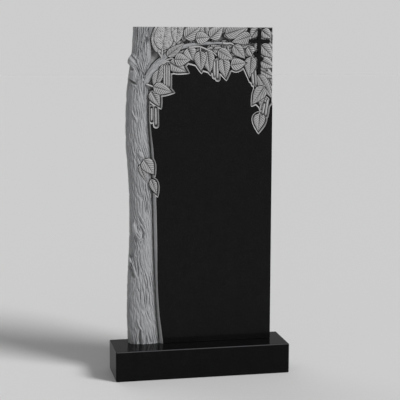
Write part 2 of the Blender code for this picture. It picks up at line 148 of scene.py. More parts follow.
# Lines in the bark: depth, and the line as (x, height, half width), in millimetres. A negative
# depth is a raised seam.
BARK_LINES = (
    # straight furrows at the top
    (3.4, ((-244, 1262, 1.8), (-243, 1221, 1.8), (-244, 1187, 1.4))),
    (2.6, ((-233, 1262, 1.5), (-232, 1232, 1.3))),
    (2.8, ((-223, 1262, 1.6), (-221, 1217, 1.4))),
    (2.4, ((-229, 1229, 1.4), (-230, 1203, 1.4))),
    (2.8, ((-225, 1208, 1.4), (-226, 1166, 1.5))),
    (2.2, ((-217, 1215, 1.3), (-218, 1198, 1.3))),
    (2.6, ((-210, 1243, 1.4), (-210, 1219, 1.4))),
    (5.0, ((-201, 1266, 2.4), (-201, 1225, 2.4), (-201, 1185, 2.0))),
    (2.8, ((-241, 1170, 1.5), (-241, 1138, 1.6))),
    (2.8, ((-233, 1178, 1.5), (-228, 1150, 1.6))),
    (2.6, ((-215, 1172, 1.4), (-212, 1130, 1.6), (-214, 1100, 1.4))),
    # round the stump and the lens knot
    (6.0, ((-262, 1156, 2.2), (-257, 1140, 3.0), (-250, 1127, 3.0), (-248, 1112, 2.2))),
    (4.0, ((-249, 1102, 1.8), (-243, 1091, 2.2), (-236, 1079, 1.8))),
    (4.6, ((-235, 1094, 1.8), (-223, 1073, 2.2), (-221, 1054, 1.8))),
    (6.5, ((-272, 1110, 5.0), (-264, 1099, 6.0), (-257, 1086, 3.5))),
    (7.0, ((-275, 1058, 2.6), (-266, 1046, 3.2), (-257, 1039, 3.2), (-246, 1030, 2.2))),
    (3.4, ((-259, 1031, 1.6), (-250, 1014, 2.0), (-245, 996, 1.6))),
    # between the trunk and the branch
    (6.0, ((-188, 1126, 3.0), (-202, 1104, 3.4), (-213, 1078, 3.0), (-224, 1050, 2.2))),
    # along the middle
    (-3.0, ((-268, 934, 1.8), (-259, 913, 2.2), (-249, 895, 1.8))),
    (2.4, ((-262, 925, 1.4), (-254, 906, 1.6), (-247, 888, 1.4))),
    (3.6, ((-244, 768, 1.6), (-240, 755, 2.0), (-232, 748, 2.0), (-222, 752, 1.6))),
    (2.6, ((-238, 769, 1.2), (-231, 762, 1.4), (-223, 765, 1.2))),
    (4.0, ((-246, 520, 1.8), (-238, 501, 2.2), (-226, 481, 2.2), (-220, 461, 1.8))),
    (-2.4, ((-240, 528, 1.8), (-231, 509, 2.0), (-219, 488, 1.8))),
    (5.0, ((-244, 486, 2.0), (-231, 468, 2.4), (-225, 449, 2.6), (-229, 431, 2.4), (-245, 416, 2.0))),
    (3.0, ((-252, 470, 1.3), (-240, 449, 1.5), (-231, 437, 1.3))),
    (3.0, ((-254, 457, 1.3), (-244, 440, 1.5), (-235, 427, 1.3))),
    (3.0, ((-257, 445, 1.3), (-248, 431, 1.5), (-240, 420, 1.3))),
    # the lower hollow and the cracks beside it
    (8.0, ((-280, 322, 4.0), (-272, 299, 5.5), (-261, 268, 3.5))),
    (-3.4, ((-270, 334, 2.2), (-260, 306, 2.6), (-251, 270, 2.2))),
    (4.4, ((-256, 360, 1.6), (-250, 332, 2.0), (-246, 308, 2.0), (-246, 270, 1.6))),
    (4.4, ((-243, 368, 1.6), (-240, 337, 2.0), (-234, 312, 2.0), (-223, 286, 1.6))),
    (3.2, ((-262, 238, 1.4), (-254, 227, 1.8), (-245, 238, 1.4))),
    # the foot
    (-3.0, ((-251, 104, 1.8), (-244, 76, 2.2), (-231, 56, 1.8))),
    (7.0, ((-239, 64, 1.8), (-242, 36, 2.8), (-240, 3, 3.6), (-240, -40, 4.0))),
    (4.4, ((-214, 42, 1.6), (-216, 10, 2.2), (-216, -40, 2.4))),
)
# Knots: one end, the other end, half width and height of the swelling, in millimetres, and how
# steep its sides are. The first is the stump of a lopped branch on the trunk's left side.
KNOTS = (
    (-258, 1099, -264, 1147, 22, 18, 2.4),
    (-263, 1100, -259, 1046, 22, 6.5, 4),
    (-240, 774, -224, 744, 9, 3.0, 4),
    (-262, 492, -257, 440, 12, 7.5, 4),
    (-247, 464, -238, 418, 12, 5.0, 4),
    (-277, 354, -271, 330, 9, 6.0, 4),
)

# Section of a knot in shares of its size, and the depth in millimetres of the ring round it.
# Furrows sway round a knot, and fade on knots and lines.
KNOT_WIDTH = 0.92
RING_DEPTH = 0.5
RING_PLACE = 1.25
RING_WIDTH = 0.25
SWAY = 0.8
SWAY_REACH = 1.5
KNOT_FADE = 0.75
LINE_FADE = 0.6
LINE_FADE_WIDTH = 1.4
# Section of a line, in shares of its depth and half width: a rounded cut between low lips
LINE_DEPTH = 1.15
LINE_SHARPNESS = 1.1
LIP_HEIGHT = 0.28
LIP_PLACE = 2.1
LIP_WIDTH = 0.75

# Branch: centre line as (x, height, radius, depth of its crest), in millimetres
BRANCH = (
    (-250, 976, 12, 26),
    (-231, 1014, 17, 13),
    (-216, 1041, 18.5, 6.5),
    (-197, 1071, 18.5, 3),
    (-172, 1101, 17.5, 2.4),
    (-145, 1129, 15.5, 2.4),
    (-121, 1152, 13.5, 2.6),
    (-94, 1168, 12.5, 3),
    (-66, 1178, 11.5, 3.4),
    (-38, 1184, 9.5, 4),
    (-6, 1189, 8, 4.6),
    (29, 1192, 7, 5),
    (69, 1193, 6.4, 5.4),
    (101, 1192, 4.6, 5.2),
)
# Twigs and stalks: centre line as (x, height, radius), in millimetres
TWIGS = (
    ((-42, 1176, 4), (-2, 1179, 3.4), (17, 1173, 3.2), (35, 1165, 3), (55, 1156, 2.8), (68, 1144, 2.4)),
    ((4, 1180, 2.6), (3, 1158, 2.4)),
    ((113, 1183, 2.6), (115, 1162, 2.6), (122, 1139, 2.6), (127, 1111, 2.4)),
    ((93, 1193, 4.5), (109, 1191, 4), (125, 1192, 3.4), (140, 1184, 2.6)),
    ((-160, 1105, 4), (-135, 1125, 3.4), (-113, 1133, 3), (-98, 1128, 2.8)),
    ((-145, 1112, 3.4), (-129, 1122, 3), (-118, 1119, 2.6)),
    ((-150, 1130, 3.6), (-148, 1155, 3), (-147, 1173, 2.6)),
    ((-149, 1136, 3.2), (-156, 1148, 2.8), (-164, 1161, 2.6)),
    ((-210, 1034, 3.6), (-195, 1029, 3), (-180, 1023, 2.8)),
    ((262, 1030, 3.2), (256, 984, 3), (246, 937, 3), (244, 911, 2.6)),
    ((241, 937, 2.6), (242, 913, 2.6)),
)
TWIG_CREST = 4.2
FEWEST_LIMB_ROWS = 4
# Gap that frees a limb from what lies round it. It starts some radii along the limb, and opens
# over a stretch.
LIMB_GAP = 2.2
TWIG_GAP = LIMB_GAP * 0.6
GAP_START = 4
GAP_OPENING = 40
# Smoother bark on the branch, in the terms of the bark's tree
SMOOTH_BARK = {
    "Ridge Width": 0.0062,
    "Ridge Length": 0.055,
    "Furrow Depth": 0.0017,
    "Lean": 0.0,
    "Waviness": 0.004,
    "Fine Depth": 0.0003,
    "Lumps": 0.0008,
}

# Leaves: stalk end, tip, half width and depth of the blade's edge, in millimetres.
# A leaf with a shallower edge lies over one with a deeper edge.
LEAVES = (
    (-131, 1167, -82, 1262, 22, 8.5),
    (-129, 1142, -60, 1193, 18, 5.5),
    # above the branch
    (-59, 1213, 9, 1262, 27, 6.5),
    (-16, 1211, 45, 1216, 25, 6.0),
    (23, 1212, 17, 1286, 21, 10),
    (42, 1212, 97, 1261, 25, 7.5),
    (93, 1230, 89, 1301, 21, 9.5),
    (102, 1227, 193, 1255, 26, 6.5),
    (165, 1232, 189, 1290, 19, 10),
    (206, 1221, 128, 1196, 24, 5.5),
    (234, 1251, 200, 1206, 20, 8.5),
    # under the branch
    (-100, 1129, -35, 1128, 25, 5.5),
    (-121, 1119, -47, 1080, 25, 8.5),
    (-155, 1116, -179, 1008, 24, 7.5),
    (-47, 1174, -23, 1124, 26, 8.5),
    (1, 1162, 7, 1082, 24, 6.5),
    (31, 1162, 43, 1074, 25, 8.0),
    (53, 1166, 113, 1168, 14, 9.5),
    (74, 1164, 136, 1128, 22, 5.5),
    (136, 1184, 184, 1132, 21, 5.5),
    (210, 1193, 161, 1175, 16, 9.5),
    (195, 1180, 220, 1132, 19, 6.5),
    (93, 1135, 106, 1054, 25, 7.0),
    (124, 1107, 191, 1117, 24, 5.5),
    (207, 1140, 201, 1055, 24, 6.5),
    (214, 1142, 235, 1083, 18, 9.5),
    # round the cross
    (238, 1203, 227, 1149, 15, 8.5),
    (240, 1225, 284, 1200, 14, 8.5),
    (238, 1153, 275, 1135, 13, 8.5),
    (240, 1106, 276, 1084, 13, 8.5),
    (250, 1243, 293, 1210, 21, 8.0),
    (295, 1200, 254, 1255, 20, 10.5),
    (246, 1187, 299, 1134, 24, 6.5),
    (254, 1196, 308, 1165, 18, 9.5),
    (245, 1126, 306, 1098, 23, 8.0),
    (247, 1087, 304, 1057, 22, 9.0),
    (235, 1071, 297, 974, 22, 6.5),
    (280, 1055, 305, 1000, 18, 9.5),
    (261, 1023, 213, 951, 25, 5.5),
    (268, 988, 248, 932, 21, 7.0),
    (244, 918, 239, 844, 24, 6.0),
    # beside the trunk
    (-183, 1025, -106, 1003, 23, 5.5),
    (-191, 1009, -156, 945, 21, 7.5),
    (-221, 741, -181, 681, 26, 5.5),
    (-238, 722, -211, 651, 12, 6.5),
    (-192, 664, -170, 600, 15, 6),
)
# Broad round leaves between the trunk and the branch, in the same terms
ROUND_LEAVES = (
    (-84, 1284, -92, 1192, 25, 6.4),
    (-146, 1144, -128, 1292, 51, 9.5),
    (-147, 1165, -131, 1276, 39, 7),
)
# Small leaves deep behind these, scattered over the ground in loose rows, in millimetres, degrees
# and shares of their size
SCATTER_FOOT = 1040
SCATTER_ENDS = (-200, 310)
SCATTER_OVER = 30
SCATTER_STEP = (37, 33)
SCATTER_SHIFT = 8
SCATTER_LENGTH = 50
SCATTER_HALF = 16
SCATTER_EDGES = (11.4, 12.2, 13)
SCATTER_HANG = (-170, -10)
SCATTER_LENGTHS = (0.7, 1.2)
SCATTER_HALVES = (0.8, 1.1)
SCATTER_LEFT = -158
SCATTER_TRIES = 8
SCATTER_SEED = 5
# Outline of a leaf: the share of its length where it is widest, and how full it is
LEAF_SHAPE = (0.32, 0.6)
ROUND_SHAPE = (0.44, 0.6)
# Course of its side veins, which leave the midrib further back than they meet the edge: powers
# of the share along the leaf at the edge and at the midrib, and of the share across it
VEIN_AT_EDGE = 0.62
VEIN_AT_MIDRIB = 1.15
VEIN_BEND = 1.25
# Section of its fold, from the midrib's furrow over the crown to the edge
FOLD_PROFILE = ((0.0, 0.0), (0.07, 0.22), (0.45, 0.92), (0.68, 1.0), (0.88, 0.8), (1.0, 0.25))
# A leaf's surface, in millimetres. A narrow leaf has a lower fold.
VEIN_PITCH = 8
FEWEST_VEINS = 6
FOLD = 4.2
FULL_FOLD_HALF = 18
QUILTING = 3
CREST_CLEARANCE = 0.6
LEAF_MOTTLE = 0.4
SEED_STEP = 3.7
# Its mesh: columns from vein to vein, and rows across. Leaves with deep edges are coarser.
LEAF_COLUMNS = 4
LEAF_ROWS = 13
BACKGROUND_EDGE = 9
BACKGROUND_COLUMNS = 2
BACKGROUND_ROWS = 9
# A broad leaf has more rows, softer quilting and a deeper mottle
BROAD_ROWS = 27
BROAD_QUILTING = 0.4
BROAD_MOTTLE = 2.2
# Leaves with edges down to this depth lie over the branch
TOP_EDGE = 5.6
# Rim cut round each leaf: depth below the face and distance from the leaf's outline
RIM_PROFILE = (
    (ABOVE_FACE, 9.5), (0, 8.5), (0.5, 7.4), (1.6, 6.3), (4.2, 4.6), (7.5, 3.4), (12, 2.2),
)
# Slot cut round a leaf into what lies under it: margins at its top, at the face, and above and
# below the leaf's edge
SLOT_MARGINS = (3.1, 2.6, 1.5, 0.8)
SLOT_ABOVE = 1
SLOT_BELOW = 3.1
RING_STEPS = 24

# Catkins: top, bottom, radius, in millimetres
CATKINS = (
    (59, 1123, 60, 1064, 5),
    (72, 1127, 72, 1055, 5),
    (213, 1073, 217, 1033, 4.6),
    (225, 1089, 229, 1028, 4.8),
    (264, 957, 256, 915, 5),
    (277, 972, 268, 908, 5.2),
    (-139, 1109, -139, 1022, 4.4),
    (-121, 1109, -121, 1022, 4.4),
    (-130, 1109, -130, 1024, 4.2),
    (-190, 943, -190, 892, 4.6),
    (-174, 943, -173, 875, 5.2),
)
CATKIN_CREST = 3.6
CATKIN_FLOOR = 8.4
# Rim cut round a catkin, in the same terms, and the margins of the gap and the floor inside it
CATKIN_RIM = (
    (ABOVE_FACE, 7.6), (0, 6.8), (0.5, 6.0), (1.6, 5.0), (3.8, 3.2), (6, 1.8), (CATKIN_FLOOR, 0.6),
)
CATKIN_GAP = (1.4, 0.8)
CATKIN_FLOOR_MARGIN = 2
CATKIN_STEPS = 24

# Ground behind the foliage: its corners, in millimetres
CROWN_GROUND = (
    (-215, 1008), (-178, 1008), (-150, 1030), (-122, 1030), (-122, 1076), (-75, 1090), (-48, 1120),
    (-15, 1112), (10, 1092), (60, 1078), (110, 1078), (135, 1100), (180, 1100), (205, 1045),
    (222, 1035), (226, 1000), (222, 965), (262, 930), (312, 985), (312, 1290), (-215, 1290),
)

# Cross with a crossbar and a slanted footrest: bars as two ends, in millimetres. Their edges are
# bevelled, their feet differ by a step, and a gap parts them from the leaves.
CROSS_BARS = (
    (239.5, 1071, 239.5, 1247),
    (197, 1201, 281, 1201),
    (218, 1156, 254, 1128),
)
CROSS_BAR_WIDTH = 12.5
CROSS_EDGE = 0.7
CROSS_FOOT_STEP = 0.7
CROSS_GAP = 0.7
CROSS_GAP_DEPTH = 5.5

# Bands left standing behind the leaves where they run off the stone, so that no deep slot breaks
# its top or its side: left end, lower end and depth in millimetres, and reach past the stone in
# metres, which differ so that no two of their faces lie in one plane
BAND_WIDTH = 2.5
BANDS = (
    (-150, STONE_TOP - BAND_WIDTH, 8.006, OVERSIZE / 2),
    (STONE_HIGH.x / MM - BAND_WIDTH, 935, 8.004, OVERSIZE / 3),
)

# Clean-up of the carved mesh: sizes in metres that count as nothing and as touching, the angle in
# degrees from which an edge is sharp, and how squarely a flat face looks along an axis
SMALLEST = 0.000001
TOUCHING = 0.00001
SHARP_ANGLE = 36
SQUARE = 0.99999

# Painted highlight along the plinth's eased top edge, a paler tone for the sky's reflection there: sum of
# depth and height in metres where it begins and ends
ARRIS = (0.2161, 0.2172)
ARRIS_PAINTED_HIGHLIGHT = 0.065

# Painted shade in the recesses, darkening the carving's colour where rays over a dome are blocked: their
# reach and their start off the stone in metres, their number, the dome's height (1 is a half sphere), and
# the least slant that counts
SHADE_REACH = 0.03
SHADE_START = 0.0003
SHADE_DIRECTIONS = 22
SHADE_DOME = 1.2
SHADE_SLANT = 0.15
# Strength of the mask for the painted highlight on convex edges, and the share of each mask that comes from
# a point's neighbours
PAINTED_HIGHLIGHT_STRENGTH = 2.2
MASK_BLUR = 0.4

# Floor and sky. The sky is strongest at the horizon, and falls off between two heights.
FLOOR_REACH = 40
FLOOR_TONE = 0.674
SKY_TONE = 0.98
SKY_STRENGTH = 0.62
SKY_FALL = 0.4
SKY_HEIGHTS = (0.03, 0.4)
# Lights: name, direction towards the light, strength and spread in radians
LIGHTS = (
    ("key light", (0.95, -0.8, 1.05), 2.7, 0.35),
    ("fill light", (0.1, -1.0, 0.4), 0.15, 0.9),
    ("back light", (-0.4, 1.0, 0.8), 0.5, 0.8),
)
# Camera: place in metres, turn to the right, tilt below the horizon and roll in radians, and lens
CAMERA_PLACE = (-0.9049, -4.3625, 1.32)
CAMERA_TURN = 0.2052
CAMERA_TILT = 0.139
CAMERA_ROLL = 0.0026
CAMERA_LENS = 102.127
CAMERA_SENSOR = 36


# Formulas in node trees

class Term:
    """A socket that takes part in a formula: each operation adds a Math node."""

    def __init__(self, tree, socket):
        self.tree = tree
        self.socket = socket

    def work(self, operation, *others):
        """The result of one Math node on this value and the others."""
        node = self.tree.nodes.new("ShaderNodeMath")
        node.operation = operation
        for socket, value in zip(node.inputs, (self, *others)):
            feed(self.tree, socket, value)
        return Term(self.tree, node.outputs[0])

    def __add__(self, other):
        return self.work("ADD", other)

    def __sub__(self, other):
        return self.work("SUBTRACT", other)

    def __mul__(self, other):
        return self.work("MULTIPLY", other)

    def __truediv__(self, other):
        return self.work("DIVIDE", other)

    def __pow__(self, other):
        return self.work("POWER", other)

    def __abs__(self):
        return self.work("ABSOLUTE")

    def __rsub__(self, other):
        return (self * -1) + other

    __rmul__ = __mul__

    def between(self, low, high):
        """This value, kept between two limits."""
        return self.work("MAXIMUM", low).work("MINIMUM", high)

    def eased(self, low, high):
        """A smooth rise from 0 at one value to 1 at another."""
        node = self.tree.nodes.new("ShaderNodeMapRange")
        node.interpolation_type = "SMOOTHSTEP"
        for name, value in (("Value", self), ("From Min", low), ("From Max", high)):
            feed(self.tree, node.inputs[name], value)
        return Term(self.tree, node.outputs["Result"])


def feed(tree, socket, value):
    """Set a socket to a number, or link it to a term or another socket."""
    if isinstance(value, Term):
        value = value.socket
    if isinstance(value, bpy.types.NodeSocket):
        tree.links.new(value, socket)
    else:
        socket.default_value = value


def add_node(tree, kind, inputs=None, **settings):
    """A new node with its settings, and its inputs by name or number."""
    node = tree.nodes.new(kind)
    for name, value in settings.items():
        setattr(node, name, value)
    for name, value in (inputs or {}).items():
        feed(tree, node.inputs[name], value)
    return node


def new_tree(name, kind, inputs, outputs):
    """A node tree with named inputs and outputs: the tree, its inputs as terms, its end.

    An input is given by its default value, or by its kind where it has none.
    """
    tree = bpy.data.node_groups.new(name, kind)
    for title, default in inputs.items():
        bare = isinstance(default, str)
        sort = default if bare else "Int" if isinstance(default, int) else "Float"
        socket = tree.interface.new_socket(title, in_out="INPUT", socket_type="NodeSocket" + sort)
        if not bare:
            socket.default_value = default
    for title, sort in outputs.items():
        tree.interface.new_socket(title, in_out="OUTPUT", socket_type="NodeSocket" + sort)
    start = tree.nodes.new("NodeGroupInput")
    given = {title: Term(tree, start.outputs[title]) for title in inputs}
    return tree, given, tree.nodes.new("NodeGroupOutput")


def split(tree, vector):
    """The three parts of a vector socket as terms."""
    node = add_node(tree, "ShaderNodeSeparateXYZ", {0: vector})
    return [Term(tree, socket) for socket in node.outputs]


def join(tree, x, y, z):
    """A vector socket from three parts."""
    return add_node(tree, "ShaderNodeCombineXYZ", {0: x, 1: y, 2: z}).outputs[0]


def noise(tree, vector, scale, detail=2.0):
    """A noise from 0 to 1 at a place, as a term."""
    node = add_node(tree, "ShaderNodeTexNoise", {"Vector": vector, "Scale": scale, "Detail": detail})
    return Term(tree, node.outputs[0])


def end_tree(tree, shape, material, end):
    """Realize what a geometry tree has made, give it its material and put it out."""
    real = add_node(tree, "GeometryNodeRealizeInstances", {"Geometry": shape})
    dressed = add_node(tree, "GeometryNodeSetMaterial", {
        "Geometry": real.outputs[0],
        "Material": material,
    })
    feed(tree, end.inputs[0], dressed.outputs[0])


def object_place(tree):
    """The place of a point on a material's object."""
    return add_node(tree, "ShaderNodeTexCoord").outputs["Object"]


def grow(thing, tree, values):
    """Put a geometry tree on an object, with the values of its inputs by name."""
    modifier = thing.modifiers.new(tree.name, "NODES")
    modifier.node_group = tree
    for item in tree.interface.items_tree:
        if item.item_type == "SOCKET" and item.in_out == "INPUT" and item.name in values:
            modifier[item.identifier] = values[item.name]


# Geometry trees

def leaf_tree():
    """A birch leaf along +X, seen from +Z: a folded, quilted blade with teeth, on a skirt."""
    tree, given, end = new_tree("birch leaf", "GeometryNodeTree", {
        "Length": 0.08,
        "Half Width": 0.024,
        "Widest": 0.32,
        "Fullness": 0.56,
        "Veins": 12,
        "Columns": 4,
        "Rows": 13,
        "Edge Depth": 0.006,
        "Back Depth": 0.024,
        "Tip Drop": 0.002,
        "Fold": 0.004,
        "Quilting": 0.001,
        "Tooth": 0.0009,
        "Mottle": 0.0004,
        "Seed": 0.0,
        "Stone": "Material",
    }, {"Geometry": "Geometry"})
    veins, widest, fullness = given["Veins"], given["Widest"], given["Fullness"]
    grid = add_node(tree, "GeometryNodeMeshGrid", {
        "Size X": 1.0,
        "Size Y": 2.0,
        "Vertices X": veins * given["Columns"] + 1,
        "Vertices Y": given["Rows"],
    })
    place = add_node(tree, "GeometryNodeInputPosition").outputs[0]
    # s goes from the stalk to the tip, vein by vein, v from one edge to the other, t from the
    # midrib to the edge, and u straight along the leaf
    x, v, _ = split(tree, place)
    s = (x + 0.5).between(0.0, 1.0)
    t = abs(v)
    at_edge, at_midrib = s ** VEIN_AT_EDGE, s ** VEIN_AT_MIDRIB
    u = at_midrib + (at_edge - at_midrib) * t ** VEIN_BEND
    fall = fullness * (1 - widest) / widest
    width = (at_edge / widest) ** fullness * ((1 - at_edge).between(0.0, 1.0) / (1 - widest)) ** fall
    waves = (s * veins * math.tau).work("COSINE")
    tooth = waves * (t ** 3) * given["Tooth"] * (width * 3).between(0.0, 1.0)
    along = u * given["Length"] + tooth * 0.8
    across = v * width * given["Half Width"] + v * tooth
    profile = add_node(tree, "ShaderNodeFloatCurve", {"Value": t})
    points = profile.mapping.curves[0].points
    for place_across, level in FOLD_PROFILE[1:-1]:
        points.new(place_across, level)
    points[0].location, points[-1].location = FOLD_PROFILE[0], FOLD_PROFILE[-1]
    profile.mapping.update()
    fold = Term(tree, profile.outputs[0]) * given["Fold"] * width ** 0.5
    # cushions between the side veins, and the mottle's dents
    ridge = abs((s * veins * math.pi).work("SINE")) ** 0.7
    quilting = ridge * (t * 9).between(0.0, 1.0) * width ** 0.5 * given["Quilting"]
    uneven = noise(tree, join(tree, along * 90, across * 90, given["Seed"]), 1.0)
    dents = (uneven - 0.62).work("MINIMUM", 0.0) * given["Mottle"] * 5.0
    level = fold + quilting + dents * width - given["Edge Depth"] - given["Tip Drop"] * u ** 2
    blade = add_node(tree, "GeometryNodeSetPosition", {
        "Geometry": grid.outputs["Mesh"],
        "Position": join(tree, along, across, level),
    })
    blade = add_node(tree, "GeometryNodeMergeByDistance", {
        "Geometry": blade.outputs[0],
        "Distance": 2 * SMALLEST,
    })
    skirt = add_node(tree, "GeometryNodeExtrudeMesh", {
        "Mesh": blade.outputs[0],
        "Offset Scale": 0.0,
        "Individual": False,
    })
    spot_x, spot_y, _ = split(tree, add_node(tree, "GeometryNodeInputPosition").outputs[0])
    lowered = add_node(tree, "GeometryNodeSetPosition", {
        "Geometry": skirt.outputs["Mesh"],
        "Selection": skirt.outputs["Top"],
        "Position": join(tree, spot_x, spot_y, given["Back Depth"] * -1),
    })
    turned = add_node(tree, "GeometryNodeFlipFaces", {"Mesh": lowered.outputs[0]})
    both = add_node(tree, "GeometryNodeJoinGeometry")
    for part in (blade, turned):
        tree.links.new(part.outputs[0], both.inputs[0])
    closed = add_node(tree, "GeometryNodeMergeByDistance", {
        "Geometry": both.outputs[0],
        "Distance": 2 * SMALLEST,
    })
    end_tree(tree, closed.outputs[0], given["Stone"], end)
    return tree


def bark_tree():
    """Bark on a limb: long lozenges between furrows, in the limb's own "grain" measure."""
    tree, given, end = new_tree("carved bark", "GeometryNodeTree", {
        "Geometry": "Geometry",
        "Ridge Width": 0.0088,
        "Ridge Length": 0.075,
        "Furrow Depth": 0.003,
        "Lean": -0.11,
        "Waviness": 0.009,
        "Fine Depth": 0.0008,
        "Lumps": 0.0018,
        "Seed": 3.0,
        "Stone": "Material",
    }, {"Geometry": "Geometry"})
    grain = add_node(tree, "GeometryNodeInputNamedAttribute", {"Name": "grain"}, data_type="FLOAT_VECTOR")
    across, along, strength = split(tree, grain.outputs[0])
    seed = given["Seed"]

    def uneven(across_waves, along_waves, shift, detail):
        """A noise with so many waves a metre across and along the limb."""
        place = join(tree, across * across_waves, along * along_waves, seed + shift)
        return noise(tree, place, 1.0, detail)

    wander = uneven(16.0, 10.0, 0.0, 2.0)
    shift = (wander - 0.5) * given["Waviness"] * 2.0
    column = (across + given["Lean"] * along + shift) / given["Ridge Width"]
    row = along / given["Ridge Length"]

    def furrows(place, randomness, width):
        """The furrows between the cells of a pattern: 1 in the middle, 0 at a width's distance."""
        cells = add_node(tree, "ShaderNodeTexVoronoi", {
            "Vector": place,
            "Scale": 1.0,
            "Randomness": randomness,
        }, feature="DISTANCE_TO_EDGE", voronoi_dimensions="2D")
        return 1 - Term(tree, cells.outputs["Distance"]).eased(0.0, width)

    furrow = furrows(join(tree, column, row + seed, 0.0), 0.9, 0.26)
    fine = furrows(join(tree, column * 2.1 + 7.0, row * 1.7, 0.0), 1.0, 0.35)
    lumps = uneven(34.0, 16.0, 5.0, 1.0)
    deeper = uneven(22.0, 7.0, 11.0, 1.0).eased(0.35, 0.7)
    coarse = furrow * given["Furrow Depth"] * (deeper * 0.75 + 0.45)
    cut = coarse + fine * given["Fine Depth"] + lumps * given["Lumps"]
    offset = add_node(tree, "ShaderNodeVectorMath", {
        0: add_node(tree, "GeometryNodeInputNormal").outputs[0],
        "Scale": cut * strength * -1,
    }, operation="SCALE")
    carved = add_node(tree, "GeometryNodeSetPosition", {
        "Geometry": given["Geometry"],
        "Offset": offset.outputs[0],
    })
    end_tree(tree, carved.outputs[0], given["Stone"], end)
    return tree


def catkin_tree():
    """A catkin along +Z: a round-ended rod with small scales in crossing spirals."""
    tree, given, end = new_tree("catkin", "GeometryNodeTree", {
        "Length": 0.07,
        "Radius": 0.004,
        "Scale Length": 0.006,
        "Scale Depth": 0.0004,
        "Stone": "Material",
    }, {"Geometry": "Geometry"})
    ball = add_node(tree, "GeometryNodeMeshUVSphere", {"Segments": 12, "Rings": 24, "Radius": 1.0})
    x, y, z = split(tree, add_node(tree, "GeometryNodeInputPosition").outputs[0])
    turn = y.work("ARCTAN2", x)
    rise = z.between(-1.0, 1.0).work("ARCSINE") / (math.pi / 2)
    fullness = (1 - abs(rise) ** 8).between(0.0, 1.0) ** 0.5
    length = given["Length"]
    swirl = rise * length / given["Scale Length"] * (math.pi / 2)
    scales = abs((turn * 2.0 + swirl).work("SINE")) * abs((turn * 2.0 - swirl).work("SINE"))
    radius = (given["Radius"] - given["Scale Depth"] * (1 - scales)) * fullness
    east, north = turn.work("COSINE") * radius, turn.work("SINE") * radius
    shaped = add_node(tree, "GeometryNodeSetPosition", {
        "Geometry": ball.outputs["Mesh"],
        "Position": join(tree, east, north, rise * length * 0.5),
    })
    end_tree(tree, shaped.outputs[0], given["Stone"], end)
    return tree


# Meshes in code

def on_stone(x, height, depth=0.0):
    """World place of a point given in millimetres on the face, depth millimetres below it."""
    return Vector((x * MM, FRONT + depth * MM, PLINTH_TOP + height * MM))


def sunk(depth):
    """The way from the face down to a depth in millimetres."""
    return Vector((0, depth * MM, 0))


def line_on_face(start, end):
    """The directions along a line on the face and across it."""
    along = (end - start).normalized()
    return along, Vector((-along.z, 0, along.x))


def eased(table, place):
    """Values of a table at a place, on smooth curves through its rows."""
    last = len(table) - 1
    k = 0
    while k < last - 1 and place > table[k + 1][0]:
        k += 1
    before, start = table[max(k - 1, 0)], table[k]
    end, after = table[k + 1], table[min(k + 2, last)]
    span = end[0] - start[0]
    t = (place - start[0]) / span
    reach_in, reach_out = span / (end[0] - before[0]), span / (after[0] - start[0])
    values = []
    for a, b, c, d in zip(before[1:], start[1:], end[1:], after[1:]):
        slope_in, slope_out = (c - a) * reach_in, (d - b) * reach_out
        values.append(b + t * slope_in + t * t * (3 * (c - b) - 2 * slope_in - slope_out)
                      + t ** 3 * (2 * (b - c) + slope_in + slope_out))
    return values


def new_object(name, data, collection):
    """An object for a mesh, a lamp or a camera, in a collection."""
    thing = bpy.data.objects.new(name, data)
    collection.objects.link(thing)
    return thing


def loft(name, rings, collection, material, grain=None):
    """A closed solid through rings with equal numbers of points, capped at both ends."""
    rings = np.asarray(rings, float)
    rows, count = rings.shape[:2]
    corner = np.arange(rows * count).reshape(rows, count)
    after = np.roll(corner, -1, axis=1)
    faces = np.stack([corner[:-1], after[:-1], after[1:], corner[1:]], axis=-1).reshape(-1, 4).tolist()
    faces.append(corner[0].tolist())
    faces.append(corner[-1].tolist())
    mesh = bpy.data.meshes.new(name)
    mesh.from_pydata(rings.reshape(-1, 3).tolist(), [], faces)
    if grain is not None:
        layer = mesh.attributes.new("grain", "FLOAT_VECTOR", "POINT")
        layer.data.foreach_set("vector", np.asarray(grain, np.float32).ravel())
    bm = bmesh.new()
    bm.from_mesh(mesh)
    bmesh.ops.recalc_face_normals(bm, faces=bm.faces)
    bm.to_mesh(mesh)
    bm.free()
    mesh.materials.append(material)
    return new_object(name, mesh, collection)


def box(name, low, high, collection, material):
    """A box between two corners."""
    bm = bmesh.new()
    bmesh.ops.create_cube(bm, size=1.0)
    low, high = Vector(low), Vector(high)
    bmesh.ops.scale(bm, vec=high - low, verts=bm.verts)
    bmesh.ops.translate(bm, vec=(low + high) / 2, verts=bm.verts)
    mesh = bpy.data.meshes.new(name)
    bm.to_mesh(mesh)
    bm.free()
    mesh.materials.append(material)
    return new_object(name, mesh, collection)


# The trunk

def trunk_shape(height):
    """Centre, half width, groove edge and bed edge of the trunk at a height, in millimetres."""
    left, right, bed = eased(TRUNK_OUTLINE, height)
    fall = 1 - (GROOVE_DEPTH - CREST_DEPTH) / TRUNK_HALF_DEPTH
    half = (right - left) / (1 + math.sqrt(1 - fall ** 2))
    return left + half, half, right, bed


def trunk_heights(rows):
    """Heights of the trunk's sections, past both ends of the block, closer where knots are."""
    fine = np.linspace(TRUNK_OUTLINE[0][0], TRUNK_OUTLINE[-1][0], TRUNK_SAMPLES)
    weight = np.ones(fine.size)
    for low, high in FINE_STRETCHES:
        weight[(fine > low) & (fine < high)] = FINE_SHARE
    share = np.cumsum(weight)
    return np.interp(np.linspace(share[0], share[-1], rows), share, fine)


def round_the_trunk(x, height):
    """Way round the trunk from its right side to a place on its front, in millimetres."""
    centre, half = trunk_shape(height)[:2]
    return math.acos(max(-0.999, min(0.999, (x - centre) / half))) * TRUNK_ROUND


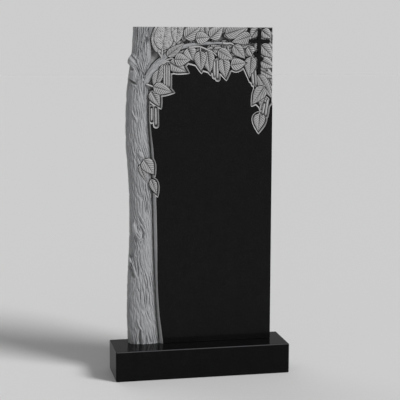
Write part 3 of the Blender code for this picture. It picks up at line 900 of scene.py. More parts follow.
def line_on_bark(way, height, line):
    """Distance from a drawn line in shares of its half width, and the place along it, 0 to 1."""
    points = [(round_the_trunk(x, h), h, half) for x, h, half in line]
    nearest = np.full(way.shape, np.inf)
    along = np.zeros(way.shape)
    for k, (a, b) in enumerate(zip(points, points[1:])):
        run, rise = b[0] - a[0], b[1] - a[1]
        t = np.clip(((way - a[0]) * run + (height - a[1]) * rise) / (run ** 2 + rise ** 2), 0, 1)
        gap = np.hypot(way - a[0] - t * run, height - a[1] - t * rise) / (a[2] + t * (b[2] - a[2]))
        closer = gap < nearest
        nearest = np.where(closer, gap, nearest)
        along = np.where(closer, (k + t) / (len(points) - 1), along)
    return nearest, along


def swell(distance, width, steepness=2):
    """A smooth swelling: 1 at no distance, and near 0 from twice a width on."""
    return np.exp(-(distance / width) ** steepness)


def bark_relief(way, height):
    """Lines and knots on the trunk: their height, how far the bark shows, and its sway sideways."""
    relief = np.zeros(way.shape)
    shows = np.ones(way.shape)
    sway = np.zeros(way.shape)
    for x0, h0, x1, h1, half, swelling, steepness in KNOTS:
        a = np.array((round_the_trunk(x0, h0), h0))
        b = np.array((round_the_trunk(x1, h1), h1))
        axis = (a - b) / np.linalg.norm(a - b)
        east, north = way - (a[0] + b[0]) / 2, height - (a[1] + b[1]) / 2
        length = np.linalg.norm(a - b) / 2
        up, side = east * axis[0] + north * axis[1], east * axis[1] - north * axis[0]
        reach = np.hypot(up / length, side / half)
        relief += swelling * swell(reach, KNOT_WIDTH, steepness)
        relief -= RING_DEPTH * swell(reach - RING_PLACE, RING_WIDTH)
        shows *= 1 - KNOT_FADE * swell(reach, 1.0, 6)
        near = np.exp(-(up / length / SWAY_REACH) ** 2 - (side / half / SWAY_REACH) ** 2)
        sway -= np.sign(side) * half * SWAY * near
    for depth, line in BARK_LINES:
        gap, along = line_on_bark(way, height, line)
        taper = 1 - np.abs(2 * along - 1) ** 4
        section = np.exp(-LINE_SHARPNESS * gap ** 2) - LIP_HEIGHT * swell(gap - LIP_PLACE, LIP_WIDTH)
        relief -= LINE_DEPTH * depth * taper * section
        shows *= 1 - LINE_FADE * swell(gap, LINE_FADE_WIDTH)
    return relief, shows, sway


def make_trunk(collection, material, bark):
    """The trunk: a half round in front, a squarer curve round its left side and back."""
    middle = FRONT / MM + CREST_DEPTH + TRUNK_HALF_DEPTH
    front = np.linspace(0, math.pi, TRUNK_FRONT_COLUMNS + 1)
    left_side = np.linspace(0, 1, TRUNK_SIDE_COLUMNS + 1)[1:]
    right_side = np.linspace(1, 0, TRUNK_BURIED_COLUMNS + 1)[1:-1]
    share = np.concatenate((np.cos(front), -(1 - left_side ** 4) ** 0.25, (1 - right_side ** 4) ** 0.25))
    y = middle + np.concatenate((-TRUNK_HALF_DEPTH * np.sin(front),
                                 BACK_REACH * left_side, BACK_REACH * right_side))
    side_way = BACK_REACH * SIDE_STRETCH * np.concatenate((left_side, 2 - right_side))
    way = np.concatenate((front * TRUNK_ROUND, math.pi * TRUNK_ROUND + side_way))
    heights = trunk_heights(TRUNK_ROWS)
    shapes = np.array([trunk_shape(height)[:2] for height in heights])
    x = shapes[:, :1] + shapes[:, 1:] * share
    y, way, height = (np.broadcast_to(part, x.shape) for part in (y, way, heights[:, None]))
    tangent_x = np.roll(x, -1, axis=1) - np.roll(x, 1, axis=1)
    tangent_y = np.roll(y, -1, axis=1) - np.roll(y, 1, axis=1)
    size = np.hypot(tangent_x, tangent_y)

    def fading(on_left_side):
        """Shares round the trunk: the whole in front, less on its left side, none in the stone."""
        return np.concatenate((np.ones(front.size), on_left_side, np.zeros(right_side.size)))

    carved = fading(1 - SIDE_FADE * np.clip((left_side - SIDE_FADE_START) / SIDE_FADE_SPAN, 0, 1))
    relief, shows, sway = bark_relief(way, height)
    relief, shows = relief * carved, shows * carved
    for axis in (0, 1):
        relief = (np.roll(relief, 1, axis) + 2 * relief + np.roll(relief, -1, axis)) / 4
    swerve = SWERVE * np.tanh((height - SWERVE_HEIGHT) / SWERVE_SPAN) * fading(1 - left_side)
    x = x - tangent_y / size * relief
    y = np.maximum(y + tangent_x / size * relief, FRONT / MM + BARK_CLEARANCE)
    rings = np.stack([x, y, height + PLINTH_TOP / MM], axis=-1) * MM
    grain = np.stack([(way + sway - swerve) * MM, height * MM, shows], axis=-1)
    trunk = loft("trunk", rings, collection, material, grain)
    grow(trunk, bark, {"Stone": material})


def limb(name, places, collection, material, sides, step, bark=None, values=None, gap=0.0):
    """A round limb along (x, height, radius, depth of its crest), smooth between the places.

    With a gap it is the same limb made thicker, to free it from what lies round it.
    """
    lengths = [0.0]
    for a, b in zip(places, places[1:]):
        lengths.append(lengths[-1] + math.dist(a[:2], b[:2]))
    table = [(length, *place) for length, place in zip(lengths, places)]
    rows = max(FEWEST_LIMB_ROWS, int(lengths[-1] / step))
    stations = np.linspace(0, lengths[-1], rows + 1)
    line = [eased(table, station) for station in stations]
    centres = [on_stone(x, height, crest + radius) for x, height, radius, crest in line]
    rings, grains = [], []
    for k, (x, height, radius, crest) in enumerate(line):
        ahead = centres[min(k + 1, rows)] - centres[max(k - 1, 0)]
        ahead.normalize()
        side = ahead.cross(OUTWARD).normalized()
        out = side.cross(ahead)
        opening = (stations[k] - radius * GAP_START) / GAP_OPENING
        reach = (radius + gap * min(1, max(0, opening))) * MM
        ring, grain = [], []
        for i in range(sides):
            angle = math.tau * i / sides
            ring.append(centres[k] + (side * math.cos(angle) + out * math.sin(angle)) * reach)
            grain.append((angle * radius * MM, stations[k] * MM, 1.0))
        rings.append(ring)
        grains.append(grain)
    thing = loft(name, rings, collection, material, grains)
    if bark is not None:
        grow(thing, bark, {"Stone": material, **(values or {})})


# Leaves and catkins

def face_frame(start, along):
    """A matrix with its place on the stone, +X along a direction and +Z out of the face."""
    turn = Matrix((along, OUTWARD.cross(along), OUTWARD)).transposed()
    return Matrix.Translation(start) @ turn.to_4x4()


def make_leaf(index, leaf, shape, collection, material, tree):
    """One leaf: its veins, fold and mesh follow its size, depth and kind."""
    x0, h0, x1, h1, half, edge = leaf
    start, tip = on_stone(x0, h0), on_stone(x1, h1)
    length = (tip - start).length
    background = edge > BACKGROUND_EDGE
    broad = shape is ROUND_SHAPE
    fold = min(FOLD * min(half / FULL_FOLD_HALF, 1), edge - CREST_CLEARANCE - QUILTING)
    blade = new_object(f"leaf {index}", bpy.data.meshes.new(f"leaf {index}"), collection)
    blade.matrix_world = face_frame(start, (tip - start).normalized())
    grow(blade, tree, {
        "Length": length,
        "Half Width": half * MM,
        "Widest": shape[0],
        "Fullness": shape[1],
        "Veins": max(FEWEST_VEINS, round(length / (VEIN_PITCH * MM))),
        "Columns": BACKGROUND_COLUMNS if background else LEAF_COLUMNS,
        "Rows": BROAD_ROWS if broad else BACKGROUND_ROWS if background else LEAF_ROWS,
        "Edge Depth": edge * MM,
        "Back Depth": (SKIRT_DEPTH + index * 2 * DEPTH_STEP) * MM,
        "Fold": fold * MM,
        "Quilting": QUILTING * (BROAD_QUILTING if broad else 1) * MM,
        "Mottle": (BROAD_MOTTLE if broad else LEAF_MOTTLE) * MM,
        "Seed": index * SEED_STEP,
        "Stone": material,
    })


def scattered_leaves():
    """Small leaves that fill the ground behind the others, hanging every way but up."""
    draw = np.random.default_rng(SCATTER_SEED)
    pitch, rise = SCATTER_STEP
    left, right = SCATTER_ENDS
    leaves = []
    for row, height in enumerate(np.arange(SCATTER_FOOT, STONE_TOP + SCATTER_OVER, rise)):
        for x in np.arange(left + row % 2 * pitch / 2, right, pitch):
            x0 = x + draw.uniform(-SCATTER_SHIFT, SCATTER_SHIFT)
            h0 = height + draw.uniform(-SCATTER_SHIFT, SCATTER_SHIFT)
            for _ in range(SCATTER_TRIES):
                angle = math.radians(draw.uniform(*SCATTER_HANG))
                length = SCATTER_LENGTH * draw.uniform(*SCATTER_LENGTHS)
                half = SCATTER_HALF * draw.uniform(*SCATTER_HALVES)
                edge = SCATTER_EDGES[len(leaves) % len(SCATTER_EDGES)]
                leaf = (x0, h0, x0 + length * math.cos(angle), h0 + length * math.sin(angle), half, edge)
                if lies_on_ground(leaf):
                    leaves.append(leaf)
                    break
    return leaves


def lies_on_ground(leaf):
    """Whether a leaf and the slot round it keep to the ground behind the foliage."""
    for point in ring_round_leaf(leaf, LEAF_SHAPE, SLOT_MARGINS[0], 0):
        x, height = point.x / MM, (point.z - PLINTH_TOP) / MM
        if not inside_ground(x, height) or x < SCATTER_LEFT:
            return False
    return True


def inside_ground(x, height):
    """Whether a place lies on the ground behind the foliage."""
    inside = False
    for (x0, h0), (x1, h1) in zip(CROWN_GROUND, CROWN_GROUND[1:] + CROWN_GROUND[:1]):
        if (h0 > height) != (h1 > height) and x < x0 + (x1 - x0) * (height - h0) / (h1 - h0):
            inside = not inside
    return inside


def ring_round_leaf(leaf, shape, margin, depth):
    """Points round a leaf's outline, a margin outside it, at one depth."""
    x0, h0, x1, h1, half, _ = leaf
    widest, fullness = shape
    fall = fullness * (1 - widest) / widest
    start, tip = on_stone(x0, h0), on_stone(x1, h1)
    along, side = line_on_face(start, tip)
    ring = []
    for i in range(2 * RING_STEPS):
        turn = math.pi * i / RING_STEPS
        u = (0.5 - 0.5 * math.cos(turn)) ** 1.2
        width = (u / widest) ** fullness * ((1 - u) / (1 - widest)) ** fall
        across = half * width * math.copysign(1, math.sin(turn)) * (i % RING_STEPS > 0)
        offset = along * (-margin * math.cos(turn)) + side * (across + margin * math.sin(turn))
        ring.append(start + (tip - start) * u + offset * MM + sunk(depth))
    return ring


def cut_leaf_bed(index, leaf, shape, collection, material):
    """The rim round a leaf: it rolls off the polished face and drops to a dark slot."""
    foot, foot_margin = RIM_PROFILE[-1]
    profile = (*RIM_PROFILE[:-1], (foot + index * DEPTH_STEP, foot_margin))
    rings = [ring_round_leaf(leaf, shape, margin, depth) for depth, margin in profile]
    loft(f"leaf bed {index}", rings, collection, material)


def cut_leaf_slot(index, leaf, shape, collection, material):
    """The slot that parts a leaf from the leaves under it."""
    edge = leaf[5]
    levels = (ABOVE_FACE, 0, edge - SLOT_ABOVE, edge + SLOT_BELOW + index * DEPTH_STEP)
    rings = [ring_round_leaf(leaf, shape, margin, depth) for depth, margin in zip(levels, SLOT_MARGINS)]
    loft(f"leaf slot {index}", rings, collection, material)


def cut_catkin_bed(index, catkin, profile, collection, material):
    """The cut round a catkin, with round ends, as depths below the face and margins."""
    x0, h0, x1, h1, radius = catkin
    start, end = on_stone(x0, h0), on_stone(x1, h1)
    along, side = line_on_face(start, end)
    rings = []
    for depth, margin in profile:
        reach = (radius + margin) * MM
        ring = []
        for i in range(CATKIN_STEPS):
            turn = math.tau * (i + 0.5) / CATKIN_STEPS
            pole = end if math.cos(turn) > 0 else start
            offset = along * (reach * math.cos(turn)) + side * (reach * math.sin(turn))
            ring.append(pole + offset + sunk(depth))
        rings.append(ring)
    loft(f"catkin bed {index}", rings, collection, material)


def make_catkin(index, catkin, collection, material, tree):
    """One hanging catkin of the table."""
    x0, h0, x1, h1, radius = catkin
    depth = CATKIN_CREST + radius
    top, bottom = on_stone(x0, h0, depth), on_stone(x1, h1, depth)
    rod = new_object(f"catkin {index}", bpy.data.meshes.new(f"catkin {index}"), collection)
    turn = Vector((0, 0, 1)).rotation_difference(top - bottom)
    rod.matrix_world = Matrix.Translation((top + bottom) / 2) @ turn.to_matrix().to_4x4()
    grow(rod, tree, {"Length": (top - bottom).length, "Radius": radius * MM, "Stone": material})


# Beds and the cross

def cut_trunk_bed(collection, material):
    """The cut that frees the trunk: a groove beside it and a slope up to the polished face."""
    outside = (BLOCK_LEFT - OVERSIZE) / MM
    (wall, floor_depth), (foot, foot_depth) = GROOVE_WALL
    rings = []
    for height in trunk_heights(BED_ROWS):
        right, bed = trunk_shape(height)[2:]
        run = bed - right - foot
        section = (
            (outside, ABOVE_FACE),
            (outside, floor_depth),
            (right + wall, floor_depth),
            (right + foot, foot_depth),
            (bed - run * BED_ROLL, BED_ROLL_DEPTH),
            (bed + run * BED_ROLL, 0),
            (bed + run * BED_OPENING, ABOVE_FACE),
        )
        rings.append([on_stone(x, height, depth) for x, depth in section])
    loft("trunk bed", rings, collection, material)


def cut_crown_ground(collection, material):
    """The pocketed ground behind the leaves, sunk below the face inside a rolled rim."""
    corners = [Vector(corner) for corner in CROWN_GROUND]
    count = len(corners)
    outward = []
    for k in range(count):
        before = (corners[k] - corners[k - 1]).normalized()
        after = (corners[(k + 1) % count] - corners[k]).normalized()
        mean = (before + after).normalized()
        outward.append(Vector((mean.y, -mean.x)) / max(0.5, mean.dot(before)))
    rings = []
    for depth, margin in (*RIM_PROFILE, (POCKET_DEPTH, 0)):
        rings.append([on_stone(*(corner + away * margin), depth) for corner, away in zip(corners, outward)])
    loft("crown ground", rings, collection, material)


def cross_bar(name, bar, levels, collection, material):
    """One bar of the cross through (depth, inset) levels."""
    x0, h0, x1, h1 = bar
    start, end = on_stone(x0, h0), on_stone(x1, h1)
    along, side = line_on_face(start, end)
    rings = []
    for depth, inset in levels:
        half = side * ((CROSS_BAR_WIDTH / 2 - inset) * MM)
        near, far = start + along * (inset * MM), end - along * (inset * MM)
        corners = (near + half, far + half, far - half, near - half)
        rings.append([corner + sunk(depth) for corner in corners])
    loft(name, rings, collection, material)


def cut_stone(thing, operation, other):
    """Join, cut or trim a piece with another object or a whole collection."""
    modifier = thing.modifiers.new(operation.lower(), "BOOLEAN")
    modifier.operation = operation
    modifier.solver = "MANIFOLD"
    modifier.material_mode = "TRANSFER"
    if isinstance(other, bpy.types.Collection):
        modifier.operand_type = "COLLECTION"
        modifier.collection = other
    else:
        modifier.object = other


def carve_stone(polished, frosted, bark_stone):
    """The upright stone: a slab that is cut and built up in layers, the deepest first."""
    layers = []

    def new_layer(name):
        """A collection for the solids of one layer."""
        layers.append(bpy.data.collections.new(name))
        bpy.context.scene.collection.children.link(layers[-1])
        return layers[-1]

    trims = new_layer("trimming block")
    low = (SLAB_LEFT, FRONT - OVERSIZE / 3, STONE_LOW.z - OVERSIZE)
    high = (STONE_HIGH.x + OVERSIZE, BACK + OVERSIZE, STONE_HIGH.z + OVERSIZE)
    slab = box("slab", low, high, trims, polished)
    block = box("block", (BLOCK_LEFT, FRONT, STONE_LOW.z), STONE_HIGH, trims, polished)
    bevel = block.modifiers.new("sawn edges", "BEVEL")
    bevel.width = STONE_EDGE
    bevel.segments = 3

    bark, leaf_shape, catkin_shape = bark_tree(), leaf_tree(), catkin_tree()
    leaves = [(leaf, LEAF_SHAPE) for leaf in LEAVES] + [(leaf, ROUND_SHAPE) for leaf in ROUND_LEAVES]
    framed = len(leaves)
    leaves += [(leaf, LEAF_SHAPE) for leaf in scattered_leaves()]
    edges = {leaf[5] for leaf, _ in leaves}

    beds = new_layer("beds")
    for index, (leaf, shape) in enumerate(leaves[:framed]):
        cut_leaf_bed(index, leaf, shape, beds, frosted)
    for index, catkin in enumerate(CATKINS):
        cut_catkin_bed(index, catkin, CATKIN_RIM, beds, frosted)
    # the trunk's bed takes the darker bark stone: painted shade on the slope beside the trunk, which faces
    # away from the key light
    cut_trunk_bed(beds, bark_stone)
    cut_crown_ground(beds, frosted)
    cut_stone(slab, "DIFFERENCE", beds)

    trunk = new_layer("trunk")
    make_trunk(trunk, bark_stone, bark)
    cut_stone(slab, "UNION", trunk)

    def lay_leaves(chosen):
        """Slots and leaves with some edges, from the deepest edge to the shallowest."""
        for edge in sorted(chosen, reverse=True):
            slots, blades = new_layer(f"slots {edge}"), new_layer(f"leaves {edge}")
            for index, (leaf, shape) in enumerate(leaves):
                if leaf[5] == edge:
                    cut_leaf_slot(index, leaf, shape, slots, frosted)
                    make_leaf(index, leaf, shape, blades, frosted, leaf_shape)
            cut_stone(slab, "DIFFERENCE", slots)
            cut_stone(slab, "UNION", blades)

    lay_leaves([edge for edge in edges if edge > TOP_EDGE])

    gaps, floors, rods = new_layer("catkin gaps"), new_layer("catkin floors"), new_layer("catkins")
    for index, catkin in enumerate(CATKINS):
        floor = CATKIN_FLOOR + index * DEPTH_STEP
        gap = ((ABOVE_FACE, CATKIN_GAP[0]), (floor, CATKIN_GAP[1]))
        plug = ((floor, CATKIN_FLOOR_MARGIN), (SKIRT_DEPTH + floor / 20, CATKIN_FLOOR_MARGIN))
        cut_catkin_bed(index, catkin, gap, gaps, frosted)
        cut_catkin_bed(index, catkin, plug, floors, frosted)
        make_catkin(index, catkin, rods, frosted, catkin_shape)
    cut_stone(slab, "DIFFERENCE", gaps)
    cut_stone(slab, "UNION", floors)
    cut_stone(slab, "UNION", rods)

    gaps, limbs = new_layer("limb gaps"), new_layer("limbs")
    limb("branch gap", BRANCH, gaps, bark_stone, sides=24, step=6, gap=LIMB_GAP)
    limb("branch", BRANCH, limbs, bark_stone, sides=40, step=2.5, bark=bark, values=SMOOTH_BARK)
    for index, twig in enumerate(TWIGS):
        places = [(*place, TWIG_CREST) for place in twig]
        limb(f"twig gap {index}", places, gaps, frosted, sides=10, step=5, gap=TWIG_GAP)
        limb(f"twig {index}", places, limbs, frosted, sides=12, step=4)
    cut_stone(slab, "DIFFERENCE", gaps)
    cut_stone(slab, "UNION", limbs)

    lay_leaves([edge for edge in edges if edge <= TOP_EDGE])

    gaps, bars = new_layer("cross gaps"), new_layer("cross")
    for index, bar in enumerate(CROSS_BARS):
        gap = ((ABOVE_FACE, -CROSS_GAP), (CROSS_GAP_DEPTH, -CROSS_GAP))
        bevel = (
            (-CROSS_EDGE * (2 + index * 0.1), 3 * CROSS_EDGE),
            (CROSS_EDGE, 0.0),
            (SKIRT_DEPTH - index * CROSS_FOOT_STEP, -CROSS_EDGE),
        )
        cross_bar(f"cross gap {index}", bar, gap, gaps, frosted)
        cross_bar(f"cross bar {index}", bar, bevel, bars, polished)
    cut_stone(slab, "DIFFERENCE", gaps)
    cut_stone(slab, "UNION", bars)

    bands = new_layer("edge bands")
    for x, height, depth, past in BANDS:
        high = (STONE_HIGH.x + past, FRONT + SKIRT_DEPTH * MM + past, STONE_HIGH.z + past)
        box("edge band", on_stone(x, height, depth), high, bands, frosted)
    cut_stone(slab, "UNION", bands)
    cut_stone(slab, "INTERSECT", block)

    bpy.context.view_layer.update()
    depsgraph = bpy.context.evaluated_depsgraph_get()
    mesh = bpy.data.meshes.new_from_object(slab.evaluated_get(depsgraph))
    mesh.name = "stele_carved"
    for layer in layers:
        for thing in list(layer.objects):
            bpy.data.objects.remove(thing)
        bpy.data.collections.remove(layer)
    finish_stone(mesh)
    # masks for painted shade in the recesses and a painted highlight on convex edges
    paint_shade_and_highlight(mesh)
    return new_object(mesh.name, mesh, bpy.context.scene.collection)


def separate_bodies(bm):
    """The points of each separate body of a mesh, the smallest body first."""
    seen = set()
    bodies = []
    for first in bm.verts:
        if first in seen:
            continue
        seen.add(first)
        body, queue = [], [first]
        while queue:
            vert = queue.pop()
            body.append(vert)
            for edge in vert.link_edges:
                other = edge.other_vert(vert)
                if other not in seen:
                    seen.add(other)
                    queue.append(other)
        bodies.append(body)
    return sorted(bodies, key=len)


def finish_stone(mesh):
    """Keep the one body, close its tiny gaps, and shade it smooth between its sharp edges.

    The stone's top shows the trunk's end grain, left as the bark is, from the left side up to
    where the trunk's bed ends.
    """
    bm = bmesh.new()
    bm.from_mesh(mesh)
    bmesh.ops.dissolve_degenerate(bm, dist=SMALLEST, edges=bm.edges)
    bmesh.ops.delete(bm, geom=[edge for edge in bm.edges if not edge.link_faces], context="EDGES")
    bmesh.ops.delete(bm, geom=[vert for vert in bm.verts if not vert.link_faces], context="VERTS")
    for body in separate_bodies(bm)[:-1]:
        bmesh.ops.delete(bm, geom=body, context="VERTS")
    bmesh.ops.holes_fill(bm, edges=[edge for edge in bm.edges if edge.is_boundary])
    top = STONE_HIGH.z - STONE_EDGE
    trunk_end = TRUNK_OUTLINE[-1][2] * MM
    upper = [face for face in bm.faces if face.calc_center_median().z > top]
    parts = dict.fromkeys(part for face in upper for part in (face, *face.edges, *face.verts))
    bmesh.ops.bisect_plane(bm, geom=list(parts), dist=TOUCHING, plane_co=(trunk_end, 0, 0),
                           plane_no=(1, 0, 0))
    bmesh.ops.triangulate(bm, faces=bm.faces)
    bark = mesh.materials.find("carved bark")
    for face in bm.faces:
        middle = face.calc_center_median()
        if middle.z > top and middle.x < trunk_end:
            face.material_index = bark
    bm.to_mesh(mesh)
    bm.free()
    mesh.set_sharp_from_angle(angle=math.radians(SHARP_ANGLE))
    for face in mesh.polygons:
        face.use_smooth = max(abs(part) for part in face.normal) < SQUARE


def rays_over_dome():
    """Directions spread evenly over the dome in front of the polished face."""
    golden = math.pi * (3 - math.sqrt(5))
    rays = []
    for k in range(SHADE_DIRECTIONS):
        out = 1 - (k + 0.5) / SHADE_DIRECTIONS * SHADE_DOME
        ring = math.sqrt(max(0, 1 - out ** 2))
        rays.append(Vector((ring * math.cos(k * golden), -out, ring * math.sin(k * golden))))
    return rays


def paint_shade_and_highlight(mesh):
    """Store how far each point of the carving is shut in, for painted shade, and how convex it is, for a
    painted highlight.
    """
    count = len(mesh.vertices)
    places = np.empty((count, 3), np.float32)
    normals = np.empty((count, 3), np.float32)
    ends = np.empty((len(mesh.edges), 2), np.int32)
    mesh.vertices.foreach_get("co", places.ravel())
    mesh.vertices.foreach_get("normal", normals.ravel())
    mesh.edges.foreach_get("vertices", ends.ravel())
    polished = mesh.materials.find("polished granite")
    carved = np.zeros(count, bool)
    for face in mesh.polygons:
        if face.material_index != polished:
            carved[list(face.vertices)] = True

    tree = BVHTree.FromPolygons(places.tolist(), [tuple(face.vertices) for face in mesh.polygons])
    rays = rays_over_dome()
    facing = normals @ np.array(rays, np.float32).T
    shut = np.zeros(count, np.float32)
    for index in np.nonzero(carved)[0]:
        start = Vector(places[index]) + Vector(normals[index]) * SHADE_START
        blocked = total = 0.0
        for k in np.nonzero(facing[index] > SHADE_SLANT)[0]:
            weight = float(facing[index, k])
            total += weight
            distance = tree.ray_cast(start, rays[k], SHADE_REACH)[3]
            if distance is not None:
                blocked += weight * (1 - distance / SHADE_REACH)
        shut[index] = blocked / total if total else 1.0

    number = np.bincount(ends.ravel(), minlength=count).astype(np.float32)

    def mean_of(brought):
        """The mean of what its edges bring to each point, given for both ends of the edges."""
        total = np.zeros((count, *brought[0].shape[1:]), np.float32)
        for side in (0, 1):
            np.add.at(total, ends[:, side], brought[side])
        return (total.T / number).T

    def spread(values):
        """The mean over each point's neighbours."""
        return mean_of((values[ends[:, 1]], values[ends[:, 0]]))

    away = places - spread(places)
    size = np.linalg.norm(places[ends[:, 0]] - places[ends[:, 1]], axis=1)
    sharpness = (away * normals).sum(axis=1) / mean_of((size, size))
    edge = np.clip(sharpness * PAINTED_HIGHLIGHT_STRENGTH, -1, 1) * carved
    # the first mask is painted shade that darkens the carving's colour in recesses, the second a painted
    # highlight on convex edges
    for name, mask in (("painted_shade", shut), ("edge", edge)):
        mask = (1 - MASK_BLUR) * mask + MASK_BLUR * spread(mask)
        layer = mesh.attributes.new(name, "FLOAT", "POINT")
        layer.data.foreach_set("value", mask.astype(np.float32))


# Finishes

def plain_material(name, tone, roughness, specular):
    """A Principled material in one grey tone."""
    material = bpy.data.materials.new(name)
    material.use_nodes = True
    shader = material.node_tree.nodes["Principled BSDF"]
    shader.inputs["Base Color"].default_value = (tone, tone, tone, 1.0)
    shader.inputs["Roughness"].default_value = roughness
    shader.inputs["Specular IOR Level"].default_value = specular
    return material


def crystal_group():
    """Granite crystals: small bright and dark grains and a slow cloudiness, each about 0 to 1."""
    tree, given, end = new_tree("granite crystals", "ShaderNodeTree", {
        "Crystal Size": 0.0011,
        "Cloud Size": 0.05,
    }, {"Grain": "Float", "Flecks": "Float", "Cloud": "Float"})
    place = object_place(tree)
    cells = add_node(tree, "ShaderNodeTexVoronoi", {
        "Vector": place,
        "Scale": given["Crystal Size"] ** -1,
        "Randomness": 1.0,
    })
    grain = split(tree, cells.outputs["Color"])[0]
    feed(tree, end.inputs["Grain"], grain)
    feed(tree, end.inputs["Flecks"], grain.eased(0.9, 1.0))
    feed(tree, end.inputs["Cloud"], noise(tree, place, given["Cloud Size"] ** -1, 3.0))
    return tree


def frosting_group():
    """Frosted stone: fine pits from the blasting and faint strokes of the finishing tool."""
    tree, given, end = new_tree("frosting", "ShaderNodeTree", {
        "Pit Size": 0.0006,
        "Stroke Length": 0.02,
    }, {"Height": "Float", "Tone": "Float"})
    place = object_place(tree)
    pits = noise(tree, place, given["Pit Size"] ** -1, 3.0)
    # strokes run up and down, six times as long as they are wide
    x, y, z = (part / given["Stroke Length"] for part in split(tree, place))
    strokes = noise(tree, join(tree, x * 6.0, y * 6.0, z), 1.0)
    feed(tree, end.inputs["Height"], pits * 0.7 + strokes * 0.3)
    feed(tree, end.inputs["Tone"], strokes * 0.5 + pits * 0.5)
    return tree


def painted_shade_group():
    """Painted shade and highlight on carved stone: its colour is darker where it is shut in and lighter
    along its convex edges.
    """
    tree, given, end = new_tree("painted shade and highlight", "ShaderNodeTree", {
        "Painted Recess Shade": 1.25,
        "Painted Edge Highlight": 1.2,
    }, {"Tone": "Float"})
    painted_shade, edge = (
        Term(tree, add_node(tree, "ShaderNodeAttribute", attribute_name=name).outputs["Fac"])
        for name in ("painted_shade", "edge")
    )
    # painted shade where the point is shut in, and a painted highlight on convex edges
    openness = (1 - painted_shade * given["Painted Recess Shade"]).between(0.09, 1.0)
    feed(tree, end.inputs["Tone"], openness * (edge * given["Painted Edge Highlight"] + 1).between(0.3, 1.18))
    return tree


def use_group(tree, group, values=None):
    """A placed node group with its own values: its outputs as terms, by name."""
    node = add_node(tree, "ShaderNodeGroup", node_tree=group)
    for name, value in (values or {}).items():
        node.inputs[name].default_value = value
    return {socket.name: Term(tree, socket) for socket in node.outputs}


def varied(mask, amount):
    """A factor that swings round 1 with a mask from 0 to 1."""
    return mask * amount + (1 - amount / 2)


def tinted(tree, tone, tint):
    """A grey value as a colour with a tint."""
    return join(tree, *(tone * part for part in tint))


def polished_material(name, groups, base, flecks, roughness, specular, arris=None):
    """Polished black granite: a near black mirror with fine crystals just below it.

    With an arris, given as a low and a high sum of depth and height, the long eased edges along
    the top get a paler tone, a painted highlight for the sky's reflection on them.
    """
    material = plain_material(name, base, roughness, specular)
    tree = material.node_tree
    shader = tree.nodes["Principled BSDF"]
    crystals = use_group(tree, groups["crystals"])
    tone = varied(crystals["Grain"], 0.9) * varied(crystals["Cloud"], 0.5) * base
    tone = tone + crystals["Flecks"] * flecks
    if arris:
        _, y, z = split(tree, object_place(tree))
        # painted highlight: a paler tone on the eased top edges for their reflection of the sky
        tone = tone + (abs(y) + z).eased(*arris) * ARRIS_PAINTED_HIGHLIGHT
    feed(tree, shader.inputs["Base Color"], tinted(tree, tone, (1.0, 1.0, 1.06)))
    feed(tree, shader.inputs["Roughness"], (crystals["Cloud"] - 0.5) * 0.04 + roughness)
    return material


def frosted_material(name, groups, base, tint, pit_size, streaks, painted_edge_highlight):
    """Carved granite left matte and light grey, with painted shade where it is shut in and a painted
    highlight on its edges.
    """
    material = plain_material(name, base, 0.82, 0.3)
    tree = material.node_tree
    shader = tree.nodes["Principled BSDF"]
    crystals = use_group(tree, groups["crystals"], {"Crystal Size": 0.0009})
    frosting = use_group(tree, groups["frosting"], {"Pit Size": pit_size, "Stroke Length": streaks})
    shade = use_group(tree, groups["shade"], {"Painted Edge Highlight": painted_edge_highlight})
    # the colour carries painted shade in the recesses and a painted highlight on edges
    tone = shade["Tone"] * base * varied(crystals["Grain"], 0.16)
    tone = tone * varied(crystals["Cloud"], 0.24) * varied(frosting["Tone"], 0.3)
    feed(tree, shader.inputs["Base Color"], tinted(tree, tone, tint))
    feed(tree, shader.inputs["Roughness"], frosting["Tone"] * 0.2 + 0.72)
    bump = add_node(tree, "ShaderNodeBump", {
        "Height": frosting["Height"],
        "Distance": 0.0004,
        "Strength": 0.6,
    })
    feed(tree, shader.inputs["Normal"], bump.outputs[0])
    return material


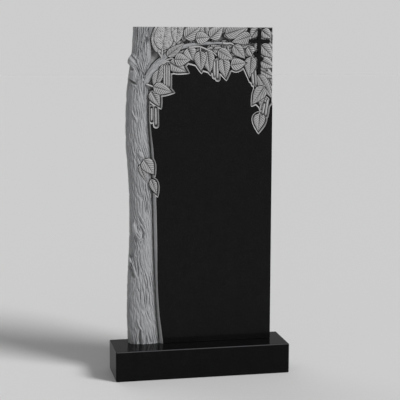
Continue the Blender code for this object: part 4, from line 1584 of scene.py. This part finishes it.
def make_stage():
    """Floor, light and camera."""
    scene = bpy.context.scene
    reach = FLOOR_REACH
    floor_mesh = bpy.data.meshes.new("floor")
    corners = [(-reach, -reach, 0), (reach, -reach, 0), (reach, reach, 0), (-reach, reach, 0)]
    floor_mesh.from_pydata(corners, [], [(0, 1, 2, 3)])
    floor_mesh.materials.append(plain_material("pale floor", FLOOR_TONE, 0.9, 0.2))
    floor = new_object("floor", floor_mesh, scene.collection)

    scene.world = bpy.data.worlds.new("studio")
    scene.world.use_nodes = True
    tree = scene.world.node_tree
    height = split(tree, add_node(tree, "ShaderNodeTexCoord").outputs["Generated"])[2]
    sky = tree.nodes["Background"]
    sky.inputs["Color"].default_value = (SKY_TONE, SKY_TONE, SKY_TONE, 1.0)
    feed(tree, sky.inputs["Strength"], SKY_STRENGTH - SKY_FALL * height.eased(*SKY_HEIGHTS))

    for name, direction, strength, spread in LIGHTS:
        lamp = bpy.data.lights.new(name, "SUN")
        lamp.energy = strength
        lamp.angle = spread
        light = new_object(name, lamp, scene.collection)
        light.rotation_euler = (-Vector(direction)).to_track_quat("-Z", "Y").to_euler()

    lens = bpy.data.cameras.new("camera")
    lens.sensor_width = CAMERA_SENSOR
    lens.lens = CAMERA_LENS
    camera = new_object("camera", lens, scene.collection)
    camera.matrix_world = (
        Matrix.Translation(CAMERA_PLACE)
        @ Matrix.Rotation(-CAMERA_TURN, 4, "Z")
        @ Matrix.Rotation(math.pi / 2 - CAMERA_TILT, 4, "X")
        @ Matrix.Rotation(CAMERA_ROLL, 4, "Z")
    )
    scene.camera = camera
    scene.view_settings.view_transform = "Standard"


def main():
    """Carve and finish the headstone, and set its stage."""
    groups = {"crystals": crystal_group(), "frosting": frosting_group(), "shade": painted_shade_group()}
    polished = polished_material("polished granite", groups, base=0.0052, flecks=0.012,
                                 roughness=0.13, specular=0.09)
    plinth_polish = polished_material("plinth granite", groups, base=0.005, flecks=0.008,
                                      roughness=0.12, specular=0.045, arris=ARRIS)
    frosted = frosted_material("frosted granite", groups, base=0.38, tint=(1.0, 1.0, 1.0),
                               pit_size=0.0006, streaks=0.02, painted_edge_highlight=1.2)
    bark_stone = frosted_material("carved bark", groups, base=0.325, tint=(0.985, 0.995, 1.02),
                                  pit_size=0.0008, streaks=0.05, painted_edge_highlight=0.85)
    stone = carve_stone(polished, frosted, bark_stone)
    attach(stone, "root")
    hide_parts("stele")
    plinth = frame["nodes"]["plinth"]
    plinth.data.materials.clear()
    plinth.data.materials.append(plinth_polish)
    make_stage()


main()
